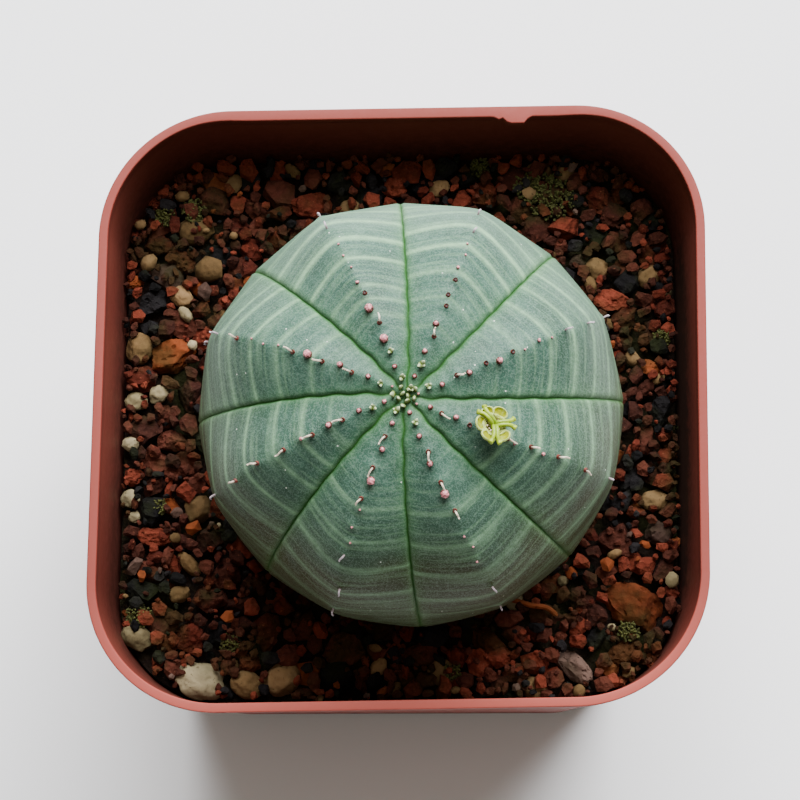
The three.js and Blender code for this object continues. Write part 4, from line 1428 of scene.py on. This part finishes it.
# Stones that stand out in the soil: x, y, length, width, turn, kind
MARKED_STONES: tuple[tuple[float, float, float, float, float, Grit], ...] = (
    (-29.5, 14.8, 4.4, 3.6, 20, Grit.BLUE),
    (-26.0, 15.4, 3.2, 2.4, -30, Grit.TAN),
    (-31.0, 9.1, 4.0, 3.2, 80, Grit.TAN),
    (-27.2, 8.0, 6.0, 4.6, 35, Grit.ORANGE),
    (-31.2, 2.6, 2.8, 2.4, 0, Grit.CREAM),
    (-28.6, 3.6, 2.8, 2.2, 40, Grit.CREAM),
    (-26.8, -2.2, 3.8, 3.0, 10, Grit.DARK_RED),
    (-23.8, -10.3, 3.8, 3.2, 60, Grit.TAN),
    (-29.2, -13.5, 4.6, 2.6, -10, Grit.RED),
    (-23.2, -30.4, 6.0, 4.4, -12, Grit.CREAM),
    (-17.8, -30.9, 4.0, 3.3, -25, Grit.TAN),
    (-13.7, -30.2, 4.4, 3.8, 25, Grit.TAN),
    (-30.6, -25.4, 4.2, 3.0, -35, Grit.CREAM),
    (-24.6, -25.6, 4.4, 3.8, 50, Grit.RED),
    (27.3, -21.8, 9.0, 5.6, -52, Grit.ORANGE),
    (20.3, -28.9, 6.4, 3.2, -38, Grit.GREY),
    (25.9, -27.2, 4.4, 3.2, 10, Grit.RED),
    (30.0, -13.2, 4.2, 3.6, 30, Grit.GREY),
    (29.8, -9.4, 3.4, 2.6, 0, Grit.TAN),
    (30.8, 1.4, 4.2, 3.2, 75, Grit.BLUE),
    (28.9, -2.0, 3.8, 2.8, 80, Grit.DARK_RED),
    (23.6, 18.7, 3.2, 2.8, 20, Grit.TAN),
    (29.8, 17.8, 3.0, 2.6, 45, Grit.TAN),
    (25.3, 14.9, 4.6, 3.4, 0, Grit.RED),
    (24.1, 27.6, 4.6, 3.6, -60, Grit.RED),
    (18.3, 28.3, 5.4, 4.0, 0, Grit.DARK_RED),
    (-10.8, 26.6, 5.4, 4.2, 15, Grit.RED),
    (-20.0, 29.4, 2.6, 2.0, 70, Grit.TAN),
    (-28.8, 21.8, 4.2, 3.0, -20, Grit.RED),
    (-26.1, 19.9, 3.6, 2.8, -40, Grit.RED),
    (-23.3, 10.3, 4.0, 3.0, 30, Grit.RED),
    (-31.7, 17.1, 2.4, 2.0, 0, Grit.ORANGE),
    (-31.8, -2.5, 2.2, 1.8, 0, Grit.CREAM),
    (-31.4, -6.3, 3.0, 2.4, 10, Grit.RED),
    (-31.7, -9.0, 2.4, 2.2, 0, Grit.CREAM),
    (-27.2, -7.9, 2.6, 1.2, 70, Grit.RED),
    (-24.7, -16.8, 3.6, 1.8, -50, Grit.TAN),
    (-25.8, -20.3, 2.8, 2.0, 20, Grit.TAN),
    (-22.3, -18.9, 2.4, 1.4, 80, Grit.RED),
    (-17.6, -28.5, 3.6, 2.8, -20, Grit.RED),
    (-12.9, -27.4, 4.0, 3.0, 10, Grit.DARK_RED),
    (-6.6, -26.8, 5.4, 4.4, 10, Grit.DARK_RED),
    (-2.6, -28.9, 2.4, 1.8, 60, Grit.TAN),
    (2.1, -27.4, 4.4, 3.2, 10, Grit.DARK_RED),
    (11.4, -28.0, 3.6, 2.8, 0, Grit.RED),
    (18.4, -25.7, 2.4, 1.6, 30, Grit.DARK_RED),
    (22.5, -25.7, 3.4, 2.8, 50, Grit.BLUE),
    (25.9, 25.5, 4.4, 3.4, 20, Grit.DARK_RED),
    (21.2, 19.7, 2.4, 1.8, 0, Grit.GREY),
    (26.8, 12.5, 4.0, 3.0, 45, Grit.RED),
    (31.6, 13.7, 3.4, 2.6, 80, Grit.RED),
    (29.6, 6.6, 3.2, 2.4, 20, Grit.ORANGE),
    (29.0, 4.0, 2.6, 2.0, 60, Grit.DARK_RED),
    (-31.2, -11.2, 1.5, 1.4, 0, Grit.CREAM),
    (18.9, -18.9, 1.4, 1.3, 0, Grit.CREAM),
    (-0.6, 28.8, 4.0, 2.8, -10, Grit.RED),
    (4.8, 28.8, 2.6, 2.0, 20, Grit.TAN),
)


@dataclass
class Stone:
    """One grain that has come to rest. The marked ones are large and have a finer shape."""

    middle: Vector
    half: Vector
    turn: float
    kind: Grit
    tone: float
    marked: bool


@dataclass
class Ground:
    """The height of the heap over a square of small cells, on which each grain comes to rest."""

    width: float
    level: float
    cell: float
    firm_under: float = 0.35
    rests_at: float = 0.6
    rest_height: float = 0.55
    dome_share: float = 0.9

    def __post_init__(self) -> None:
        """Starts with level ground."""
        side = int(self.width / self.cell)
        self.origin = -self.width / 2
        self.middles = self.origin + (np.arange(side) + 0.5) * self.cell
        self.height = np.full((side, side), self.level)

    def footprint(self, x: float, y: float, half: Vector, turn: float) -> tuple[slice, slice, np.ndarray]:
        """The cells under a grain and the share of its height that stands over each."""
        reach = max(half.x, half.y) + self.cell
        low = [max(int((v - reach - self.origin) / self.cell), 0) for v in (x, y)]
        high = [int((v + reach - self.origin) / self.cell) + 1 for v in (x, y)]
        rows, columns = slice(low[0], high[0]), slice(low[1], high[1])
        dx, dy = np.meshgrid(self.middles[rows] - x, self.middles[columns] - y, indexing="ij")
        u = (dx * math.cos(turn) + dy * math.sin(turn)) / (half.x + self.cell / 2)
        v = (-dx * math.sin(turn) + dy * math.cos(turn)) / (half.y + self.cell / 2)
        return rows, columns, np.sqrt(np.clip(1 - u * u - v * v, 0, 1))

    def settle(self, x: float, y: float, half: Vector, turn: float) -> float:
        """Height at which a grain would come to rest."""
        rows, columns, dome = self.footprint(x, y, half, turn)
        under = self.height[rows, columns][dome > self.firm_under]
        return float(np.quantile(under, self.rests_at)) + half.z * self.rest_height

    def cover(self, x: float, y: float, z: float, half: Vector, turn: float) -> None:
        """Raises the ground to the top of a grain that lies there."""
        rows, columns, dome = self.footprint(x, y, half, turn)
        top = np.where(dome > 0, z + half.z * dome * self.dome_share, -1)
        self.height[rows, columns] = np.maximum(self.height[rows, columns], top)


@dataclass
class GrittySoil:
    """The soil: a dark bed that fills the pot and grains of many kinds heaped on it."""

    pot: NurseryPot
    globe: RibbedGlobe
    top: float = 53.5
    bed_drop: float = 1.9
    root_socket_from: float = 14.0
    clearance: float = 0.3
    neck_radius: float = 17.6
    neck_shift: float = 1.4
    cell: float = 0.3
    # Throws of loose grains: their length, how many
    throws: tuple[tuple[float, int], ...] = ((4.4, 230), (3.3, 460), (2.3, 760), (1.5, 700), (0.9, 700))
    throw_reach: float = 34.0
    tries: int = 5
    aside: float = 0.3
    fine_aside: float = -0.6
    moulds: int = 40
    chip_corners: tuple[int, int] = (13, 20)
    worn_corners: int = 24
    fine_under: float = 2.0
    fine_light: float = 0.35
    highest: float = 54.6
    # Grains in strips by the near and far walls are painted paler: painted light that lifts the shade
    # there.
    painted_light_strips: float = 0.4
    painted_light_strips_at: tuple[float, float] = (24.0, 29.0)
    marked_depth: float = 0.62
    shares: tuple[tuple[Grit, float], ...] = (
        (Grit.DARK_RED, 0.45),
        (Grit.RED, 0.27),
        (Grit.BLUE, 0.17),
        (Grit.ORANGE, 0.035),
        (Grit.TAN, 0.035),
        (Grit.GREY, 0.02),
        (Grit.CREAM, 0.005),
    )
    bed_columns: int = 200
    bed_rows: int = 30
    bed_roughness: float = 0.55
    moss_height: float = 0.9
    moss_radii: tuple[float, float] = (0.24, 0.08)
    moss_density: int = 60
    twig_radius: float = 0.32
    # The bends of the scrap of root: x, y, height over what it lies on
    twig_bends: tuple[tuple[float, float, float], ...] = (
        (12.9, -21.2, 0.0),
        (15.0, -21.9, 0.3),
        (16.9, -22.2, 0.2),
        (18.2, -23.2, 0.0),
    )

    def __post_init__(self) -> None:
        """Starts the random numbers for the grains' shapes."""
        self.draw = random.Random(SEED + 4)

    def build_bed(self, finish: bpy.types.Material) -> None:
        """Builds the block of fine soil that fills the pot round the root, from its material."""
        pot, gap, reach = self.pot, self.clearance, self.pot.corner_reach
        level = self.top - self.bed_drop
        floor = pot.floor + gap
        knee = floor + pot.edge_round
        top_radius = pot.inner_half(level) - gap - reach
        walls = np.array(
            [
                (0.0, 0.0, floor),
                (pot.inner_half(floor) - pot.edge_round - gap - reach, 1.0, floor),
                (pot.inner_half(knee) - gap - reach, 1.0, knee),
                (top_radius - 0.02, 1.0, level - 0.3),
                (top_radius, 1.0, level),
            ]
        )
        depths = np.linspace(self.globe.equator + self.root_socket_from, self.globe.reach[-1], 12)
        root = np.stack(self.globe.side_at(depths)[:2], -1)
        steps = len(walls) + self.bed_rows + len(root) - 1

        def place(across: np.ndarray, along: np.ndarray) -> np.ndarray:
            """Puts the grid's points on the bed: walls, then the top inwards, then the root's socket."""
            row = np.rint(along * steps).astype(int)
            outer = pot.outline(across, walls[np.clip(row, 0, len(walls) - 1)])
            inward = np.clip((row - len(walls) + 1) / self.bed_rows, 0, 1)
            sunk = np.clip(row - len(walls) - self.bed_rows + 1, 0, len(root) - 1)
            radius, height = root[sunk].T
            socket = around(radius + gap, across * 2 * math.pi, height)
            last = row == steps
            socket[last, :2] = 0
            socket[last, 2] -= gap
            points = outer * (1 - inward[:, None]) + self.globe.to_pot(socket) * inward[:, None]
            flat = (row >= len(walls)) & (sunk == 0)
            loose = flat & (inward < 0.999)
            spots = [Vector(point) for point in points[loose]]
            rough = [noise.noise(spot * 0.55) + 0.6 * noise.noise(spot * 1.7) for spot in spots]
            points[flat, 2] = level
            points[loose, 2] += self.bed_roughness * np.array(rough)
            return points

        bm = roll_grid(self.bed_columns, steps, place)
        hand_over(bm, "soil_bed", finish, ["gritty_soil"], sharp=80)

    def inside(self, x: float, y: float, margin: float) -> bool:
        """Whether a grain of this half size is clear of the pot's wall and of the plant."""
        reach = self.pot.corner_reach
        corner = math.hypot(max(abs(x) - reach, 0), max(abs(y) - reach, 0))
        neck = math.hypot(x - self.globe.centre[0], y - self.globe.centre[1] - self.neck_shift)
        clear_of_wall = corner < self.pot.inner_half(self.top) - margin - reach
        return clear_of_wall and neck > self.neck_radius + margin * 0.6

    def heap(self) -> list[Stone]:
        """Lets the grains fall one by one, each on what lies under it, and returns them at rest."""
        draw = random.Random(SEED + 3)
        ground = Ground(self.pot.width, self.top - self.bed_drop, self.cell)
        kinds, weights = zip(*self.shares)
        fine_weights = [share * (1.0 if kind.dark else self.fine_light) for kind, share in self.shares]
        stones: list[Stone] = []

        def drop(x: float, y: float, z: float, half: Vector, turn: float, kind: Grit, marked: bool) -> None:
            """Leaves a grain where it lies."""
            ground.cover(x, y, z, half, turn)
            # Paler grains by the near and far walls: painted light in their shade.
            tone = draw.random() + self.painted_light_strips * smoothstep(*self.painted_light_strips_at, abs(y))
            stones.append(Stone(Vector((x, y, z)), half, turn, kind, tone, marked))

        for x, y, length, width, turn, kind in MARKED_STONES:
            half = Vector((length / 2, width / 2, min(length, width) * 0.42))
            drop(x, y, self.top - half.z * self.marked_depth, half, math.radians(turn), kind, True)
        landmarks = np.array([(x, y, (length + width) / 4) for x, y, length, width, *_ in MARKED_STONES])
        for size, count in self.throws:
            fine = size < self.fine_under
            aside = self.fine_aside if fine else self.aside
            for _ in range(count):
                length = size * draw.uniform(0.75, 1.25)
                half = Vector((1, draw.uniform(0.6, 0.95), draw.uniform(0.5, 0.8))) * length / 2
                kind = draw.choices(kinds, fine_weights if fine else weights)[0]
                options = []
                while len(options) < self.tries:
                    x, y = (draw.uniform(-self.throw_reach, self.throw_reach) for _ in range(2))
                    near = (np.hypot(landmarks[:, 0] - x, landmarks[:, 1] - y) - landmarks[:, 2]).min()
                    if self.inside(x, y, half.x) and near > half.x * aside:
                        turn = draw.uniform(0, math.pi)
                        options.append((ground.settle(x, y, half, turn), x, y, turn))
                z, x, y, turn = min(options)
                if z + half.z < self.highest:
                    drop(x, y, z, half, turn, kind, False)
        return stones

    def chip(self, corners: int, tumbled: bool) -> Shape:
        """Knaps the shape of one small grain, of radius 1.

        Args:
            corners: about how many corners it has.
            tumbled: whether it is worn round.

        Returns:
            Its corners and its faces.
        """
        draw = self.draw
        spread, least = (0.12, 0.94) if tumbled else (0.28, 0.8)
        bm = bmesh.new()
        for number in range(corners):
            level = 1 - 2 * (number + 0.5) / corners
            ring = math.sqrt(1 - level * level)
            turn = number * GOLDEN_TURN
            way = Vector((ring * math.cos(turn), ring * math.sin(turn), level))
            way += Vector([draw.gauss(0, spread) for _ in range(3)])
            bm.verts.new(way.normalized() * draw.uniform(least, 1.05))
        hull = bmesh.ops.convex_hull(bm, input=bm.verts)
        spare = [item for item in hull["geom_interior"] if isinstance(item, bmesh.types.BMVert)]
        bmesh.ops.delete(bm, geom=spare, context="VERTS")
        bmesh.ops.recalc_face_normals(bm, faces=bm.faces)
        return take_shape(bm)

    def boulder(self, tumbled: bool) -> Shape:
        """Knaps the shape of one marked stone, of radius about 1: flat breaks, a rough skin and pits.

        Args:
            tumbled: whether it is worn round.

        Returns:
            Its corners and its faces.
        """
        draw = self.draw
        breaks, depths = ((5, 7), (0.78, 0.95)) if tumbled else ((10, 14), (0.6, 0.85))
        rough, pitted = (0.04, 0.25) if tumbled else (0.09, 0.7)
        bm = bmesh.new()
        bmesh.ops.create_icosphere(bm, subdivisions=4, radius=1)
        planes = []
        for _ in range(draw.randint(*breaks)):
            way = Vector([draw.gauss(0, 1) for _ in range(3)]).normalized()
            planes.append((way, draw.uniform(*depths)))
        offset = scattered(draw, 50)
        for vert in bm.verts:
            point = vert.co.normalized()
            for way, far in planes:
                over = point.dot(way) - far
                if over > 0:
                    point -= way * over * 0.96
            swell = noise.noise(point * 1.7 + offset) * 0.12
            swell += noise.fractal(point * 3.1 + offset, 1.0, 2.1, 4) * rough
            swell -= max(noise.noise(point * 4.3 - offset) - 0.3, 0) * pitted
            vert.co = point * (1 + swell)
        return take_shape(bm)

    def lay(self, bm: bmesh.types.BMesh, stone: Stone, shape: Shape) -> None:
        """Lays one grain in its place.

        Args:
            bm: the mesh of its kind.
            stone: where and how large it is.
            shape: its corners and faces at radius 1.
        """
        draw = self.draw
        about = [Matrix.Rotation(draw.uniform(0, math.tau), 3, axis) for axis in "ZXZ"]
        tilt = [Matrix.Rotation(draw.uniform(-0.3, 0.3), 3, axis) for axis in "XY"]
        spun = about[0] @ about[1] @ about[2]
        leant = Matrix.Rotation(stone.turn, 3, "Z") @ (tilt[0] @ tilt[1])
        placed = leant @ Matrix.Diagonal(stone.half) @ spun
        points, faces = shape
        tone = bm.verts.layers.float["tone"]
        corners = [bm.verts.new(point) for point in points @ np.array(placed).T + np.array(stone.middle)]
        for vert in corners:
            vert[tone] = stone.tone
        for face in faces:
            bm.faces.new([corners[i] for i in face])

    def build(self, finishes: dict[str, bpy.types.Material]) -> None:
        """Builds the bed, one piece for each kind of grain and the moss, from the materials by name."""
        self.build_bed(finishes["peat"])
        stones = self.heap()
        crushed = [self.chip(self.draw.randint(*self.chip_corners), False) for _ in range(self.moulds)]
        worn = [self.chip(self.worn_corners, True) for _ in range(self.moulds)]
        for kind in Grit:
            bm = new_mesh("tone")
            moulds = worn if kind.tumbled else crushed
            if kind is Grit.ORANGE:
                self.twig(bm)
            for stone in stones:
                if stone.kind is kind:
                    shape = self.boulder(kind.tumbled) if stone.marked else self.draw.choice(moulds)
                    self.lay(bm, stone, shape)
            hand_over(bm, kind.value, finishes[kind.value], sharp=50 if kind.tumbled else 30)
        self.moss(finishes["moss"])

    def twig(self, bm: bmesh.types.BMesh) -> None:
        """Adds the bent scrap of root that lies on the soil in front of the plant."""
        low = Vector((0, 0, self.top + 0.4))
        path = smooth_path([Vector(bend) + low for bend in self.twig_bends], 4)
        for vert in sweep(bm, path, [self.twig_radius] * len(path), 8):
            vert[bm.verts.layers.float["tone"]] = 0.6

    def moss(self, finish: bpy.types.Material) -> None:
        """Builds the small tufts of moss between the grains, from their material."""
        bm = new_mesh("tip")
        tip = bm.verts.layers.float["tip"]
        draw = random.Random(SEED + 5)
        for x, y, reach in MOSS_TUFTS:
            for _ in range(int(self.moss_density * reach)):
                turn = draw.uniform(0, math.tau)
                far = reach * math.sqrt(draw.random())
                length = self.moss_height * draw.uniform(0.5, 1) * (1.2 - 0.5 * far / reach)
                foot = Matrix.Translation((x + far * math.cos(turn), y + far * math.sin(turn), self.top))
                lean = turned(draw.uniform(0, 0.9), "Y")
                about = turned(draw.uniform(0, math.tau), "Z")
                blade = bmesh.ops.create_cone(
                    bm,
                    cap_ends=True,
                    segments=4,
                    radius1=self.moss_radii[0],
                    radius2=self.moss_radii[1],
                    depth=length,
                    matrix=foot @ about @ lean @ Matrix.Translation((0, 0, length / 2)),
                )
                for vert in blade["verts"]:
                    vert[tip] = min(max((vert.co.z - self.top) / self.moss_height, 0), 1)
        hand_over(bm, "moss", finish, sharp=60)


# Studio


@dataclass
class Studio:
    """The floor, the soft lights and the camera at the photograph's viewing angle."""

    target: tuple[float, float, float] = (-0.02, 0.145, 65.0)
    distance: float = 300.0
    tilt: float = 12.231
    roll: float = -0.2
    focal_pixels: float = 2639.0
    image_pixels: float = 800.0
    sensor: float = 36.0
    floor_size: float = 3000.0
    # Softboxes: name, place, width, watts, tint
    softboxes: tuple[tuple[str, tuple[float, float, float], float, float, str], ...] = (
        ("window_light", (145, 640, 690), 900, 50.0, "#F8FAFF"),
        ("fill_light", (-60, -170, 900), 500, 1.5, "#FFF4E8"),
    )
    world_tint: str = "#F8F6F0"
    world_strength: float = 0.085

    def build_floor(self) -> None:
        """Lays the plain pale floor."""
        bm = bmesh.new()
        bmesh.ops.create_grid(bm, x_segments=4, y_segments=4, size=self.floor_size / 2 * MM)
        mesh = bpy.data.meshes.new("floor")
        bm.to_mesh(mesh)
        bm.free()
        mesh.materials.append(StudioPaper().make())
        floor = bpy.data.objects.new("floor", mesh)
        bpy.context.scene.collection.objects.link(floor)

    def add_softbox(
        self, name: str, place: tuple[float, float, float], size: float, watts: float, tint: str
    ) -> None:
        """Hangs one square softbox that faces the plant.

        Args:
            name: the light's name.
            place: where it hangs.
            size: its width.
            watts: its power.
            tint: its colour.
        """
        light = bpy.data.lights.new(name, "AREA")
        light.shape = "SQUARE"
        light.size = size * MM
        light.energy = watts
        light.color = to_linear(tint)[:3]
        lamp = bpy.data.objects.new(name, light)
        lamp.location = Vector(place) * MM
        aim = Vector(self.target) - Vector(place)
        lamp.rotation_euler = aim.to_track_quat("-Z", "Y").to_euler()
        bpy.context.scene.collection.objects.link(lamp)

    def light(self) -> None:
        """Lights the plant from the far side, a little from the right, with weak light all round."""
        for softbox in self.softboxes:
            self.add_softbox(*softbox)
        world = bpy.data.worlds.new("studio")
        world.use_nodes = True
        background = world.node_tree.nodes["Background"]
        background.inputs["Color"].default_value = to_linear(self.world_tint)
        background.inputs["Strength"].default_value = self.world_strength
        bpy.context.scene.world = world

    def add_camera(self) -> None:
        """Sets up the camera nearly overhead, tilted a little towards the front."""
        camera = bpy.data.cameras.new("camera")
        camera.sensor_width = self.sensor
        camera.lens = self.focal_pixels * self.sensor / self.image_pixels
        camera.clip_start = 0.01
        camera.clip_end = 20
        view = bpy.data.objects.new("camera", camera)
        away = Matrix.Translation((0, 0, self.distance * MM))
        aimed = turned(math.radians(self.tilt), "X") @ turned(math.radians(self.roll), "Z")
        view.matrix_world = Matrix.Translation(Vector(self.target) * MM) @ aimed @ away
        bpy.context.scene.collection.objects.link(view)
        bpy.context.scene.camera = view

    def build(self) -> None:
        """Sets up the whole studio."""
        self.build_floor()
        self.light()
        self.add_camera()


# The finish of each kind of grain, and of the bed
STONE_FINISHES = (
    CrushedStone("red_lava", "#2C120B", "#4C1C10", "#6C3020", "#7E4630"),
    CrushedStone("dark_red_lava", "#22100A", "#381A11", "#4E271B", "#5E3626"),
    CrushedStone("orange_clay", "#48200E", "#6C3418", "#824628", "#3A1C0C", pit_depth=0.35),
    CrushedStone(
        "tan_pumice", "#3A2C18", "#5E482C", "#7A6040", "#30240F", pit_depth=0.3, algae_share=0.3
    ),
    CrushedStone(
        "cream_pumice", "#4C422C", "#6E6246", "#8C8062", "#443A26", pit_depth=0.3, algae_share=0.4
    ),
    CrushedStone("grey_stone", "#2A1D18", "#443229", "#5C483E", "#241814", pit_depth=0.4),
    CrushedStone("blue_black_stone", "#080706", "#100E0E", "#1E1B1B", "#282322"),
    CrushedStone("peat", "#140C08", "#22160F", "#322217", "#3E2C1C", grain_mm=0.6),
)

FLESH_FINISHES = (
    # Buds: pale tops are a painted highlight, and the dark folds are partly painted shade.
    PlainFlesh("buds", "#4C1610", "#E8969A", grain_mm=0.2, roughness=0.25),
    PlainFlesh("stubs", "#1E0A07", "#6E2A1C", grain_mm=0.2, roughness=0.6),
    PlainFlesh("dried_stalks", "#4E2A1A", "#CEBEA6", grain_mm=0.3, roughness=0.3),
    PlainFlesh("old_stalks", "#6A5854", "#A89CA0", grain_mm=0.3, roughness=0.4),
    PlainFlesh("leaves", "#54661C", "#B8C89C", grain_mm=0.3, roughness=0.25),
    PlainFlesh("flower_cup", "#7C8000", "#B0C074", grain_mm=0.4, roughness=0.6, ior=1.1),
    PlainFlesh("flower_styles", "#6C8A0C", "#98AC24", grain_mm=0.4, roughness=0.35),
    PlainFlesh("moss", "#26260E", "#5A5C2C", grain_mm=0.3, roughness=0.8, ior=1.3),
    PlainFlesh("flower_bits", "#B08878", "#EAD8CE", grain_mm=0.2),
)


def main() -> None:
    """Builds every part of the potted plant round its frame, in order."""
    logging.basicConfig(level=logging.INFO, format="%(name)s: %(message)s")
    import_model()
    finishes = {finish.name: finish.make() for finish in (*STONE_FINISHES, *FLESH_FINISHES)}
    pot = NurseryPot()
    pot.build(MouldedPolypropylene().make())
    globe = RibbedGlobe()
    items = CrestItems(globe)
    items.raise_tubercles()
    globe.build(SucculentSkin().make())
    items.build(finishes)
    Cyathium(globe).build(finishes)
    GrittySoil(pot, globe).build(finishes)
    Studio().build()


if __name__ == "__main__":
    main()
